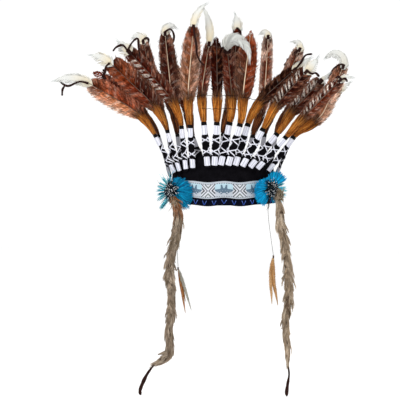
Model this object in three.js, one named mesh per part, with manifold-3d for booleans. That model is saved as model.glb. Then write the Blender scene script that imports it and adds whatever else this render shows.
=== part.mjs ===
// A feathered headdress. A black felt crown fits round the head and rises over the forehead. Feathers
// stand all round it in wrapped black sleeves, with brown vanes and pale plumes at their tips. A woven brow
// band crosses the forehead and a stitched hem runs round the rim. A feather rosette sits at each temple,
// and a long fur tail with a leather end and a small bundle of hackle feathers on a thread hang from it.
// Millimetres, +Z up. The wearer looks along -Y, with +X on the right of someone who faces the wearer. The
// origin is in the middle of the head opening, level with the rim.
import * as THREE from "three";
import { mergeVertices } from "three/addons/utils/BufferGeometryUtils.js";
import Module from "manifold-3d";

const wasm = await Module();
wasm.setup();

// Felt crown
const HEAD_WIDTH = 169; // inside the felt, ear to ear
const HEAD_DEPTH = 199; // inside the felt, forehead to nape
const FELT = 2.5; // felt wall
const CROWN_FRONT = 85; // felt height over the forehead
const CROWN_SIDE = 70; // felt height over the ears
const CROWN_BACK = 75; // felt height round the nape
const CROWN_PEAK = 1.5; // how quickly the height falls away towards the ears
const CROWN_TAPER = 0.05; // how far the felt leans in for each millimetre of height
const RIM_LIFT = 5; // how far the rim rises over the ears
const RIM_WAVE = 1.5; // depth of the soft waves in the rim
const RIM_WAVES = 9; // waves in a full turn, which fade out at the ears
const RING_STEPS = 60; // facets round the head
const GAP = 0.35; // clearance between pieces that are sewn or bound to each other

// Hem and brow band
const HEM_HEIGHT = 11.5;
const HEM_THICK = 2.2;
const BAND_HEIGHT = 26.5;
const BAND_THICK = 1.2;
const BAND_REACH = 9; // facets that the brow band covers to each side of the forehead

// Feathers and their sleeves
const SEAM_LAP = 23.5; // length of sleeve that is sewn down on the felt
const SLEEVE_LENGTH = 75;
const SLEEVE_WIDTH = 9.6;
const SLEEVE_THICK = 6;
const SLEEVE_SIDES = 8;
const TAPE_THICK = 0.5; // white tape wound on the sleeve
const FLUFF_LENGTH = 40; // ginger hackles between sleeve and vane
const VANE_LENGTH = 112;
const VANE_WIDTH = 30;
const TIP_LENGTH = 50; // pale plume at the tip
const TIP_WIDTH = 14;
const QUILL_STEP = 2; // step in which a feather's line is worked out
const VANE_CAMBER = 0.1; // rise of the vane's middle over its edges, as a share of its width

// Rosettes
const ROSETTE_RADIUS = 34;
const ROSETTE_FACING = 42; // degrees to the side of straight ahead
const ROSETTE_STANDOFF = 11; // from the brow band to the strips
const HUB_RADIUS = 9;
const HUB_THICK = 3; // in front of the middle of the strips
const HUB_SIDES = 12;
const STRIP_THICK = 1;
const STRIP_LAYER = 1.3; // step in depth between neighbouring strips
const TUFT_RADIUS = 13; // spotted tuft in front of the hub
const TUFT_THICK = 6;
const TUFT_SIDES = 16;
const TUFT_SCALLOP = 0.84; // its outline between two barbs, as a share of the radius at a barb

// Fur tails, their leather ends and the hackle bundles
const TAIL_LENGTH = 260;
const TAIL_WIDTH = 19;
const TAIL_THICK = 14;
const LOCK_DEPTH = 0.24; // how far each row of locks stands out, as a share of the half width
const LOCK_ROWS = 15;
const LOCK_OVERHANG = 0.94; // where in its row a lock is widest
const THONG_LENGTH = 56;
const THONG_WIDTH = 6;
const THONG_THICK = 1.8;
const THONG_STEPS = 6;
const THREAD = 0.9; // thickness of the thread that a hackle bundle hangs on
const THREAD_STEP = 3; // diameters between the thread's sections
const DROP_LENGTH = 82;
const DROP_WIDTH = 5.2; // of one hackle
const KNOT_LENGTH = 5;
const KNOT_WIDTH = 2.6;

const COLOURS = {
  felt: { color: 0x121115, roughness: 0.95, metalness: 0 },
  hem: { color: 0x11131f, roughness: 0.9, metalness: 0 },
  woven: { color: 0xc4cbcf, roughness: 0.75, metalness: 0 },
  sleeve: { color: 0x141316, roughness: 0.9, metalness: 0 },
  feather: { color: 0x6b2f1b, roughness: 0.6, metalness: 0 },
  turquoise: { color: 0x118cb8, roughness: 0.7, metalness: 0 },
  spotted: { color: 0x1c2026, roughness: 0.7, metalness: 0 },
  fur: { color: 0x7d6a58, roughness: 0.95, metalness: 0 },
  leather: { color: 0x2c1c17, roughness: 0.6, metalness: 0 },
  hackle: { color: 0xc08a4c, roughness: 0.6, metalness: 0 },
  thread: { color: 0xd9dad6, roughness: 0.5, metalness: 0 },
};

// The feathers, left to right. turn places the sleeve round the head, in degrees from the forehead. lean,
// neck, sweep and curl are the angles from upright, seen from the front, of the sleeve, the fluff, the vane
// and the plume at the tip. flare and fall are the angles out of that view, towards the front, of the sleeve
// and the tip. face turns the vane's flat side. long, wide, tip and plume are shares of VANE_LENGTH,
// VANE_WIDTH, TIP_LENGTH and TIP_WIDTH.
const FEATHER_COLUMNS = ["turn", "lean", "neck", "sweep", "curl", "flare", "fall", "face", "long", "wide",
  "tip", "plume"];
const table = (columns, rows) =>
  rows.map((row) => Object.fromEntries(columns.map((name, i) => [name, row[i]])));
const FRONT_FEATHERS = table(FEATHER_COLUMNS, [
  [-63.3, -28, -38, -60, -112, 3, 8, -25, 0.86, 1.2, 1.15, 1],
  [-54.2, -17, -30, -47, -90, 10, 14, -15, 0.92, 1.07, 0.67, 1.1],
  [-44.3, -6, -22, -43, -53, 3, 2, -20, 0.98, 0.85, 0.45, 1],
  [-34.9, -4, -4, 5, 55, 12, 8, -8, 1.05, 0.93, 0.81, 0.75],
  [-17.4, -5, -6, 9, -28, 4, 2, -12, 0.77, 0.6, 1.15, 0.75],
  [-10.2, 3, 0, -1, -6, 12, 16, 8, 0.77, 0.6, 0.2, 0.5],
  [-4, 12, 2, -6, 185, 4, 14, -6, 0.72, 0.8, 1.1, 1.2],
  [3.8, 16, 1, 7, 14, 12, 8, 5, 0.88, 1.17, 0.2, 0.5],
  [11.3, 17, 32, 48, 60, 3, 6, 12, 0.67, 0.75, 0.6, 0.85],
  [18.6, 29, 26, 43, 36, 12, 14, 12, 0.67, 1, 0.52, 1.1],
  [27, 39, 30, 44, 55, 3, 2, 18, 0.62, 0.95, 0.3, 0.5],
  [36.5, 42, 40, 45, 110, 11, 14, 20, 0.76, 0.75, 0.36, 0.6],
  [54, 37, 66, 23, -150, 2, 2, 25, 0.92, 1, 0.95, 0.95],
]);
const BACK_FEATHERS = table(FEATHER_COLUMNS, [
  [-86, -16, -40, -48, -78, -6, -12, -30, 0.86, 0.9, 0.4, 0.8],
  [-112, -9, -23, -13, -130, -12, -20, -20, 1.2, 0.85, 0.5, 1.2],
  [-130, -8, -10, -6, 130, -8, -12, -12, 1.24, 1.1, 0.55, 1],
  [-162, -20, -4, -19, -33, -13, -20, -8, 0.88, 0.8, 0.5, 1.1],
  [-179, 3, 17, 5, -20, -9, -14, 0, 1.33, 0.8, 0.55, 0.9],
  [156, 14, 24, 4, -135, -13, -20, 8, 1.3, 0.62, 0.4, 0.8],
  [137, 10, 22, 24, -105, -8, -14, 12, 1.1, 0.75, 0.45, 0.8],
  [117, 10, 32, 43, 62, -13, -18, 20, 0.65, 0.8, 0.3, 0.5],
  [97, 23, 40, 51, 56, -6, -10, 30, 0.68, 0.8, 0.42, 0.6],
]);

// Sections of a sleeve from its foot up: at is a share of SLEEVE_LENGTH, and tape is 1 where white tape is
// wound on it.
const SLEEVE_SECTIONS = [
  { at: 0, tape: 0 },
  { at: 0.055, tape: 1 },
  { at: 0.25, tape: 1 },
  { at: 0.29, tape: 0 },
  { at: 0.69, tape: 0 },
  { at: 0.72, tape: 1 },
  { at: 0.92, tape: 1 },
  { at: 1, tape: 0 },
];
// Sections of the fluff, the vane and the plume. at is a share of that stretch's length, left and right are
// shares of its half width, and deep is the half thickness as a share of SLEEVE_THICK.
const FLUFF_SECTIONS = [
  { at: 0, left: 0.3, right: 0.3, deep: 0.42 },
  { at: 0.45, left: 0.36, right: 0.36, deep: 0.52 },
  { at: 0.9, left: 0.46, right: 0.45, deep: 0.45 },
];
const VANE_SECTIONS = [
  { at: 0.06, left: 0.72, right: 0.66, deep: 0.3 },
  { at: 0.2, left: 0.95, right: 0.86, deep: 0.22 },
  { at: 0.38, left: 1, right: 1, deep: 0.2 },
  { at: 0.56, left: 0.98, right: 0.96, deep: 0.18 },
  { at: 0.74, left: 0.86, right: 0.9, deep: 0.17 },
  { at: 0.9, left: 0.6, right: 0.62, deep: 0.17 },
  { at: 1, left: 0.2, right: 0.2, deep: 0.26 },
];
const PLUME_SECTIONS = [
  { at: 0.12, left: 0.55, right: 0.5, deep: 0.28 },
  { at: 0.4, left: 1, right: 0.92, deep: 0.22 },
  { at: 0.72, left: 0.8, right: 0.86, deep: 0.16 },
  { at: 1, left: 0.12, right: 0.16, deep: 0.08 },
];

// Sections of a hackle in a bundle: at along DROP_LENGTH, wide and deep as shares of DROP_WIDTH.
const HACKLE_SECTIONS = [
  { at: 0.03, wide: 0.3, deep: 0.15 },
  { at: 0.32, wide: 1, deep: 0.17 },
  { at: 0.72, wide: 0.62, deep: 0.13 },
  { at: 1, wide: 0.1, deep: 0.05 },
];
// Sections of the spotted tuft from the hub out: deep as a share of TUFT_THICK, wide of TUFT_RADIUS.
const TUFT_SECTIONS = [
  { deep: 0, wide: 1 },
  { deep: 0.55, wide: 0.72 },
  { deep: 0.9, wide: 0.3 },
];

// Strips of a rosette, seen from the front: turn is anticlockwise from the right, reach a share of
// ROSETTE_RADIUS, and wide the share of HUB_RADIUS that the strip is at its broad end.
const LEFT_STRIPS = [
  { turn: 0, reach: 1.33, wide: 1.15 },
  { turn: 17, reach: 1.16, wide: 1.1 },
  { turn: 40, reach: 0.85, wide: 1.1 },
  { turn: 71, reach: 0.63, wide: 0.9 },
  { turn: 111, reach: 0.63, wide: 0.5 },
  { turn: 138, reach: 0.92, wide: 0.55 },
  { turn: 155, reach: 0.89, wide: 0.35 },
  { turn: 168, reach: 1.06, wide: 0.4 },
  { turn: 180, reach: 1.01, wide: 0.3 },
  { turn: 192, reach: 1.06, wide: 0.35 },
  { turn: 207, reach: 1.06, wide: 0.45 },
  { turn: 228, reach: 1.26, wide: 0.7 },
  { turn: 301, reach: 1.00, wide: 0.9 },
  { turn: 322, reach: 1.39, wide: 1.2 },
  { turn: 342, reach: 1.40, wide: 1.2 },
];
const RIGHT_STRIPS = [
  { turn: 1, reach: 1.01, wide: 0.5 },
  { turn: 14, reach: 0.96, wide: 0.4 },
  { turn: 28, reach: 1.16, wide: 0.9 },
  { turn: 48, reach: 1.05, wide: 1 },
  { turn: 73, reach: 0.82, wide: 0.8 },
  { turn: 109, reach: 0.53, wide: 0.8 },
  { turn: 142, reach: 0.67, wide: 0.9 },
  { turn: 162, reach: 0.91, wide: 0.9 },
  { turn: 179, reach: 1.08, wide: 1.1 },
  { turn: 195, reach: 1.11, wide: 1.15 },
  { turn: 214, reach: 1.13, wide: 1.15 },
  { turn: 239, reach: 0.98, wide: 1 },
  { turn: 291, reach: 0.78, wide: 1.1 },
  { turn: 340, reach: 1.09, wide: 0.4 },
  { turn: 353, reach: 1.07, wide: 0.35 },
];
// turn places a rosette round the head, in degrees from the forehead, and height is its middle's above the
// rim. across and down are where its tail begins, from its middle.
const ROSETTES = {
  left: { turn: -61, height: 25.5, side: -1, strips: LEFT_STRIPS, across: 8, down: 14.5 },
  right: { turn: 52.5, height: 28.8, side: 1, strips: RIGHT_STRIPS, across: 4.5, down: 14.5 },
};

// Lines of the fur tails down from the rosette, as shares of TAIL_LENGTH, with the half width as a share
// of TAIL_WIDTH.
const TAIL_LINES = {
  left: [
    { across: 0, ahead: 0, down: 0, half: 0.3 },
    { across: 0.018, ahead: 0.035, down: 0.058, half: 0.46 },
    { across: 0.022, ahead: 0.045, down: 0.166, half: 0.5 },
    { across: -0.001, ahead: 0.045, down: 0.28, half: 0.47 },
    { across: -0.024, ahead: 0.045, down: 0.38, half: 0.46 },
    { across: -0.028, ahead: 0.045, down: 0.474, half: 0.52 },
    { across: -0.016, ahead: 0.045, down: 0.59, half: 0.47 },
    { across: -0.02, ahead: 0.045, down: 0.705, half: 0.44 },
    { across: -0.034, ahead: 0.045, down: 0.82, half: 0.4 },
    { across: -0.028, ahead: 0.045, down: 0.92, half: 0.4 },
    { across: -0.036, ahead: 0.045, down: 0.965, half: 0.42 },
    { across: -0.072, ahead: 0.045, down: 0.998, half: 0.36 },
    { across: -0.117, ahead: 0.045, down: 1.02, half: 0.2 },
  ],
  right: [
    { across: 0, ahead: 0, down: 0, half: 0.3 },
    { across: 0.018, ahead: 0, down: 0.06, half: 0.42 },
    { across: 0.026, ahead: 0, down: 0.17, half: 0.42 },
    { across: 0.046, ahead: 0, down: 0.26, half: 0.42 },
    { across: 0.062, ahead: 0, down: 0.37, half: 0.46 },
    { across: 0.072, ahead: 0, down: 0.48, half: 0.47 },
    { across: 0.078, ahead: 0, down: 0.6, half: 0.45 },
    { across: 0.066, ahead: 0, down: 0.72, half: 0.4 },
    { across: 0.058, ahead: 0, down: 0.83, half: 0.36 },
    { across: 0.068, ahead: 0, down: 0.94, half: 0.32 },
    { across: 0.072, ahead: 0, down: 1.04, half: 0.18 },
  ],
};
// Lines of the leather ends, on from the fur, as shares of THONG_LENGTH, with the half width as a share of
// THONG_WIDTH.
const THONG_LINES = {
  left: [
    { across: 0, ahead: 0, down: 0, half: 0.16 },
    { across: -0.19, ahead: 0, down: 0.24, half: 0.3 },
    { across: -0.33, ahead: 0, down: 0.5, half: 0.44 },
    { across: -0.43, ahead: 0, down: 0.78, half: 0.36 },
    { across: -0.41, ahead: 0, down: 0.9, half: 0.46 },
  ],
  right: [
    { across: 0, ahead: 0, down: 0, half: 0.22 },
    { across: 0.03, ahead: 0, down: 0.28, half: 0.2 },
    { across: -0.01, ahead: 0, down: 0.56, half: 0.34 },
    { across: -0.04, ahead: 0, down: 0.82, half: 0.44 },
    { across: -0.03, ahead: 0, down: 0.92, half: 0.3 },
  ],
};
// Routes of the threads, chosen by hand, in millimetres from the rosette's hub.
const THREAD_ROUTES = {
  left: [[0, 0, 0], [1, -1.5, -5], [2.5, -4.5, -12], [3.5, -6, -22], [5, -7, -50], [6.5, -8, -85],
    [8, -9, -115]],
  right: [[0, 0, 0], [-1, -0.5, -8], [-3, -1, -21], [-2, -1, -42], [1.5, -1, -70], [5.6, -1, -99]],
};
// The hackles of each bundle: lean in degrees from hanging straight down, ahead in degrees towards the
// front, and long as a share of DROP_LENGTH.
const DROP_HACKLES = {
  left: [
    { lean: 12, ahead: 5, long: 0.93 },
    { lean: 16, ahead: 7, long: 0.9 },
    { lean: 13, ahead: 3, long: 0.7 },
  ],
  right: [
    { lean: -3, ahead: 0, long: 0.98 },
    { lean: 4, ahead: 2, long: 1 },
    { lean: 0, ahead: -3, long: 0.75 },
  ],
};

const half = 0.5;
const radians = THREE.MathUtils.degToRad;
const vector = (x, y, z) => new THREE.Vector3(x, y, z);

// A closed body through rings of points. The rings either run on in a loop or end in flat faces.
function bodyThrough(rings, loop = false) {
  const sides = rings[0].length;
  const points = rings.flat();
  const triangles = [];
  const last = loop ? rings.length : rings.length - 1;
  for (let r = 0; r < last; r++) {
    const here = r * sides;
    const next = ((r + 1) % rings.length) * sides;
    for (let s = 0; s < sides; s++) {
      const t = (s + 1) % sides;
      triangles.push(here + s, here + t, next + t, here + s, next + t, next + s);
    }
  }
  if (!loop) {
    const end = (rings.length - 1) * sides;
    for (let s = 1; s < sides - 1; s++) {
      triangles.push(0, s + 1, s, end, end + s, end + s + 1);
    }
  }
  return facingOut(points, triangles);
}

// The geometry of a closed body, with its faces turned to point out.
function facingOut(points, triangles) {
  let volume = 0;
  for (let i = 0; i < triangles.length; i += 3) {
    const [a, b, c] = [0, 1, 2].map((k) => points[triangles[i + k]]);
    volume += a.dot(b.clone().cross(c));
  }
  if (volume < 0) triangles.reverse();
  const geometry = new THREE.BufferGeometry().setFromPoints(points);
  geometry.setIndex(triangles);
  return geometry;
}

function solidOf(geometry) {
  const bare = geometry.index ? geometry.clone() : geometry;
  bare.deleteAttribute("normal");
  bare.deleteAttribute("uv");
  const merged = mergeVertices(bare, 1e-4);
  return new wasm.Manifold(
    new wasm.Mesh({
      numProp: 3,
      vertProperties: merged.attributes.position.array,
      triVerts: new Uint32Array(merged.index.array),
    }),
  );
}

function geometryOf(solid) {
  const made = solid.getMesh();
  const geometry = new THREE.BufferGeometry();
  geometry.setAttribute("position", new THREE.BufferAttribute(made.vertProperties, 3));
  geometry.setIndex(new THREE.BufferAttribute(made.triVerts, 1));
  return geometry;
}

const fused = (geometries) => geometries.map(solidOf).reduce((whole, more) => whole.add(more));

function named(name, geometry, finish) {
  const mesh = new THREE.Mesh(geometry, new THREE.MeshStandardMaterial(COLOURS[finish]));
  mesh.name = name;
  return mesh;
}

// The felt's outer face: a point at a turn in radians from the forehead and a height, some way out from it.
function feltNormal(turn) {
  const wide = HEAD_WIDTH * half + FELT;
  const deep = HEAD_DEPTH * half + FELT;
  return vector(Math.sin(turn) / wide, -Math.cos(turn) / deep, 0).normalize();
}

function besideFelt(turn, height, out) {
  const wide = HEAD_WIDTH * half + FELT;
  const deep = HEAD_DEPTH * half + FELT;
  const base = vector(wide * Math.sin(turn), -deep * Math.cos(turn), height);
  return base.addScaledVector(feltNormal(turn), out - CROWN_TAPER * height);
}

function rimHeight(turn) {
  const fade = Math.max(0, Math.cos(turn)) ** 6;
  return RIM_LIFT * Math.sin(turn) ** 2 + RIM_WAVE * Math.cos(RIM_WAVES * turn) * fade;
}

function crownHeight(turn) {
  const ahead = Math.max(0, Math.cos(turn)) ** CROWN_PEAK;
  const behind = Math.max(0, -Math.cos(turn)) ** CROWN_PEAK;
  return CROWN_SIDE + (CROWN_FRONT - CROWN_SIDE) * ahead + (CROWN_BACK - CROWN_SIDE) * behind;
}

// A wall beside the felt between two heights, from one facet to another or all the way round.
function wallBeside(from, to, low, high, out, thick) {
  const rings = [];
  const loop = to - from === RING_STEPS;
  for (let step = from; step < to + (loop ? 0 : 1); step++) {
    const turn = (step / RING_STEPS) * Math.PI * 2;
    rings.push([
      besideFelt(turn, low(turn), out),
      besideFelt(turn, high(turn), out),
      besideFelt(turn, high(turn), out + thick),
      besideFelt(turn, low(turn), out + thick),
    ]);
  }
  return bodyThrough(rings, loop);
}

function feltCrown() {
  const wall = wallBeside(0, RING_STEPS, (t) => rimHeight(t) + GAP, crownHeight, -FELT, FELT);
  return named("felt_crown", wall, "felt");
}

function hemBand() {
  const top = (t) => rimHeight(t) + HEM_HEIGHT;
  return named("hem_band", wallBeside(0, RING_STEPS, rimHeight, top, GAP, HEM_THICK), "hem");
}

function browBand() {
  const low = (t) => rimHeight(t) + HEM_HEIGHT + GAP;
  const high = (t) => low(t) + BAND_HEIGHT;
  const wall = wallBeside(-BAND_REACH, BAND_REACH, low, high, GAP, BAND_THICK);
  return named("brow_band", wall, "woven");
}

// Angles along a feather's line, from a list of [length along, angle] in order.
function angleAt(stops, along) {
  const next = stops.findIndex(([at]) => at >= along);
  if (next <= 0) return stops[next === 0 ? 0 : stops.length - 1][1];
  const [[from, a], [to, b]] = [stops[next - 1], stops[next]];
  return a + ((b - a) * (along - from)) / (to - from);
}

// A feather's line from its foot at the origin, with a function that gives the place, the width direction
// and the direction through the vane at a length along it.
function quillLine(row) {
  const fluffEnd = SLEEVE_LENGTH + FLUFF_LENGTH;
  const vaneEnd = fluffEnd + VANE_LENGTH * row.long;
  const end = vaneEnd + TIP_LENGTH * row.tip;
  const middle = SLEEVE_LENGTH + FLUFF_LENGTH * half;
  const swept = fluffEnd + VANE_LENGTH * row.long * 0.3;
  const sideways = [[0, row.lean], [SLEEVE_LENGTH, row.lean], [middle, row.neck], [swept, row.sweep],
    [vaneEnd, row.sweep], [end, row.curl]];
  const forward = [[0, row.flare], [fluffEnd, row.flare], [end, row.fall]];
  const normal = feltNormal(radians(row.turn));
  const seated = THREE.MathUtils.radToDeg(Math.atan2(normal.x, -normal.y));
  const front = Math.abs(row.turn) < 90 ? 0 : 180;
  const across = THREE.MathUtils.euclideanModulo(seated - front + 180, 360) - 180;
  const facing = [[0, across], [SLEEVE_LENGTH, across], [fluffEnd + VANE_LENGTH * row.long * 0.25, row.face],
    [end, row.face]];
  const headingAt = (along) => {
    const a = radians(angleAt(sideways, along));
    const b = radians(angleAt(forward, along));
    return vector(Math.sin(a) * Math.cos(b), -Math.sin(b), Math.cos(a) * Math.cos(b));
  };
  const placeAt = (along) => {
    const place = vector(0, 0, 0);
    const steps = Math.max(1, Math.round(along / QUILL_STEP));
    for (let i = 0; i < steps; i++) {
      place.addScaledVector(headingAt(((i + half) / steps) * along), along / steps);
    }
    return place;
  };
  return {
    fluffEnd,
    vaneEnd,
    end,
    at(along) {
      const heading = headingAt(along);
      const face = radians(angleAt(facing, along));
      const through = vector(Math.sin(face), -Math.cos(face), 0);
      through.addScaledVector(heading, -through.dot(heading)).normalize();
      return { place: placeAt(along), through, across: through.clone().cross(heading) };
    },
  };
}

// A flat oval with a level side at its front and back.
function ovalRing({ place, through, across }, halfWidth, halfDepth) {
  const ring = [];
  for (let i = 0; i < SLEEVE_SIDES; i++) {
    const turn = ((i + half) / SLEEVE_SIDES) * Math.PI * 2;
    const point = place.clone().addScaledVector(across, halfWidth * Math.cos(turn));
    ring.push(point.addScaledVector(through, halfDepth * Math.sin(turn)));
  }
  return ring;
}

// The section of a vane: two thin edges, swept back, and a thicker middle.
function vaneRing({ place, through, across }, left, right, deep, camber) {
  const corner = (side, depth) => place.clone().addScaledVector(across, side).addScaledVector(through, depth);
  const inner = 0.4;
  return [
    corner(-left, -camber),
    corner(-left * inner, -deep),
    corner(right * inner, -deep),
    corner(right, -camber),
    corner(right * inner, deep),
    corner(-left * inner, deep),
  ];
}

function sleeve(name, line) {
  const rings = SLEEVE_SECTIONS.map(({ at, tape }) => {
    const wider = (tape - 1) * TAPE_THICK;
    return ovalRing(line.at(at * SLEEVE_LENGTH), SLEEVE_WIDTH * half + wider, SLEEVE_THICK * half + wider);
  });
  return named(name, bodyThrough(rings), "sleeve");
}

function feather(name, row, line) {
  const stretches = [
    { sections: FLUFF_SECTIONS, from: SLEEVE_LENGTH + GAP, to: line.fluffEnd, wide: VANE_WIDTH, camber: 0 },
    {
      sections: VANE_SECTIONS,
      from: line.fluffEnd,
      to: line.vaneEnd,
      wide: VANE_WIDTH * row.wide,
      camber: VANE_CAMBER,
    },
    {
      sections: PLUME_SECTIONS,
      from: line.vaneEnd,
      to: line.end,
      wide: TIP_WIDTH * row.plume,
      camber: VANE_CAMBER,
    },
  ];
  const rings = stretches.flatMap(({ sections, from, to, wide, camber }) =>
    sections.map(({ at, left, right, deep }) => {
      const spot = line.at(from + at * (to - from));
      const rise = camber * wide * half * (left + right) * half;
      return vaneRing(spot, left * wide * half, right * wide * half, deep * SLEEVE_THICK, rise);
    }),
  );
  return named(name, bodyThrough(rings), "feather");
}

// A sleeve with its feather, seated on the felt.
function featherStem(tag, row) {
  const group = new THREE.Group();
  const turn = radians(row.turn);
  const flat = (SLEEVE_THICK * half - TAPE_THICK) * Math.cos(Math.PI / SLEEVE_SIDES);
  group.position.copy(besideFelt(turn, crownHeight(turn) - SEAM_LAP, flat + GAP));
  const line = quillLine(row);
  group.add(sleeve("sleeve_" + tag, line), feather("feather_" + tag, row, line));
  return group;
}

// A column round the head between two heights, some way out from the felt, for trimming what is sewn on.
function headColumn(low, high, out) {
  const rings = [low, high].map((height) => {
    const ring = [];
    for (let step = 0; step < RING_STEPS; step++) {
      ring.push(besideFelt((step / RING_STEPS) * Math.PI * 2, height, out));
    }
    return ring;
  });
  return bodyThrough(rings);
}

// One strip of a rosette in its own frame, which faces -Y: narrow at the hub, broad near its end.
function rosetteStrip({ turn, reach, wide }, layer) {
  const angle = radians(turn);
  const along = vector(Math.cos(angle), 0, Math.sin(angle));
  const across = vector(-Math.sin(angle), 0, Math.cos(angle));
  const long = reach * ROSETTE_RADIUS;
  const root = HUB_RADIUS * 0.6;
  const sections = [
    { at: root, side: HUB_RADIUS * 0.16, depth: 0 },
    { at: root + (long - root) * 0.7, side: HUB_RADIUS * wide * half, depth: layer },
    { at: long, side: HUB_RADIUS * wide * 0.32, depth: layer * 2 },
  ];
  const rings = sections.map(({ at, side, depth }) =>
    [[-1, -1], [1, -1], [1, 1], [-1, 1]].map(([s, d]) =>
      along.clone().multiplyScalar(at).addScaledVector(across, s * side)
        .add(vector(0, depth + d * STRIP_THICK * half, 0)),
    ),
  );
  return bodyThrough(rings);
}

// The middle of a rosette, some way out from the brow band in the direction that the rosette faces.
function rosetteMiddle(side, out) {
  const { turn, height, side: sign } = ROSETTES[side];
  const facing = radians(ROSETTE_FACING * sign);
  const ahead = vector(Math.sin(facing), -Math.cos(facing), 0);
  return besideFelt(radians(turn), height, GAP + BAND_THICK).addScaledVector(ahead, out);
}

function rosette(side) {
  const { strips, side: sign } = ROSETTES[side];
  const group = new THREE.Group();
  group.position.copy(rosetteMiddle(side, ROSETTE_STANDOFF));
  group.rotation.z = radians(ROSETTE_FACING * sign);
  group.updateMatrixWorld(true);

  const hubDepth = ROSETTE_STANDOFF + HUB_RADIUS;
  const hub = new THREE.CylinderGeometry(HUB_RADIUS, HUB_RADIUS, HUB_THICK + hubDepth, HUB_SIDES);
  hub.translate(0, (hubDepth - HUB_THICK) * half, 0);
  const pieces = strips.map((row, i) => rosetteStrip(row, (i % 2 ? 1 : -1) * STRIP_LAYER * half));
  const inOwnFrame = group.matrixWorld.clone().invert();
  const columns = [
    headColumn(-ROSETTE_RADIUS, RIM_LIFT + HEM_HEIGHT + GAP, HEM_THICK + GAP * 2),
    headColumn(0, CROWN_FRONT + ROSETTE_RADIUS, BAND_THICK + GAP * 2),
  ];
  const head = fused(columns.map((column) => column.applyMatrix4(inOwnFrame)));
  const disc = fused([hub, ...pieces]).subtract(head);
  group.add(named("rosette_" + side, geometryOf(disc), "turquoise"));
  group.add(named("rosette_tuft_" + side, bodyThrough(TUFT_SECTIONS.map(tuftRing)), "spotted"));
  return group;
}

// A ring of the spotted tuft, scalloped, in front of the hub.
function tuftRing({ deep, wide }) {
  const ring = [];
  for (let i = 0; i < TUFT_SIDES; i++) {
    const angle = (i / TUFT_SIDES) * Math.PI * 2;
    const out = TUFT_RADIUS * wide * (i % 2 ? TUFT_SCALLOP : 1);
    ring.push(vector(out * Math.cos(angle), -HUB_THICK - GAP - deep * TUFT_THICK, out * Math.sin(angle)));
  }
  return ring;
}

// A strip of fur or leather along a line of points with half widths, its flat side turned to a facing. Rows
// of locks step its outline in and out.
function stripAlong(points, facing, depthAt, rows, lock) {
  const path = new THREE.CatmullRomCurve3(points.map(({ place }) => place), false, "centripetal");
  const widths = new THREE.CatmullRomCurve3(points.map(({ place, half: side }) => vector(side, 0, place.z)));
  const rings = [];
  for (let row = 0; row < rows; row++) {
    const lastRow = row === rows - 1;
    const shares = [0, ...(lock && !lastRow ? [LOCK_OVERHANG] : []), ...(lastRow ? [1] : [])];
    for (const share of shares) {
      const at = (row + share) / rows;
      const heading = path.getTangent(at);
      const through = vector(Math.sin(facing), -Math.cos(facing), 0);
      through.addScaledVector(heading, -through.dot(heading)).normalize();
      const across = through.clone().cross(heading).normalize();
      const side = widths.getPoint(at).x;
      const ragged = (i) => 1 + lock * (share - half) + lock * half * ((i + row) % 2 ? share : -share);
      const spot = { place: path.getPoint(at), through, across };
      const smooth = ovalRing(spot, side, depthAt(side));
      rings.push(smooth.map((point, i) => point.sub(spot.place).multiplyScalar(ragged(i)).add(spot.place)));
    }
  }
  return bodyThrough(rings);
}

// The points of a line given in shares of a length and a width, from a place on.
const linePoints = (rows, long, wide, from) =>
  rows.map(({ across, ahead, down, half: side }) => ({
    place: vector(across, -ahead, -down).multiplyScalar(long).add(from),
    half: side * wide,
  }));

// A fur tail, which begins flat against the strips of its rosette, and its leather end.
function hangingTail(side) {
  const { across, down, side: sign } = ROSETTES[side];
  const rows = TAIL_LINES[side];
  const out = STRIP_LAYER + STRIP_THICK * half + GAP + TAIL_THICK * rows[0].half;
  const group = new THREE.Group();
  group.position.copy(rosetteMiddle(side, ROSETTE_STANDOFF + out));
  group.position.add(vector(across, across * Math.tan(radians(ROSETTE_FACING * sign)), -down));
  const tail = linePoints(rows, TAIL_LENGTH, TAIL_WIDTH, vector(0, 0, 0));
  const [before, last] = tail.slice(-2).map(({ place }) => place);
  const end = last.clone().addScaledVector(last.clone().sub(before).normalize(), GAP * 2);
  const thong = linePoints(THONG_LINES[side], THONG_LENGTH, THONG_WIDTH, end);
  const flat = TAIL_THICK / TAIL_WIDTH;
  const facing = radians(ROSETTE_FACING * sign);
  group.add(
    named("fur_tail_" + side, stripAlong(tail, facing, (w) => w * flat, LOCK_ROWS, LOCK_DEPTH), "fur"),
    named("tail_thong_" + side, stripAlong(thong, 0, () => THONG_THICK * half, THONG_STEPS, 0), "leather"),
  );
  return group;
}

// One hackle of a bundle: narrow at the knot, widest a third of the way down, and pointed at its end.
function hackle({ lean, ahead, long }) {
  const tilt = new THREE.Matrix4().makeRotationFromEuler(new THREE.Euler(radians(-ahead), radians(-lean), 0));
  const spot = (at) => ({ place: vector(0, 0, -at), through: vector(0, -1, 0), across: vector(-1, 0, 0) });
  const rings = HACKLE_SECTIONS.map(({ at, wide, deep }) => {
    const side = wide * DROP_WIDTH * half;
    return vaneRing(spot(at * long * DROP_LENGTH), side, side, deep * DROP_WIDTH, 0);
  });
  return bodyThrough(rings).applyMatrix4(tilt);
}

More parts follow.
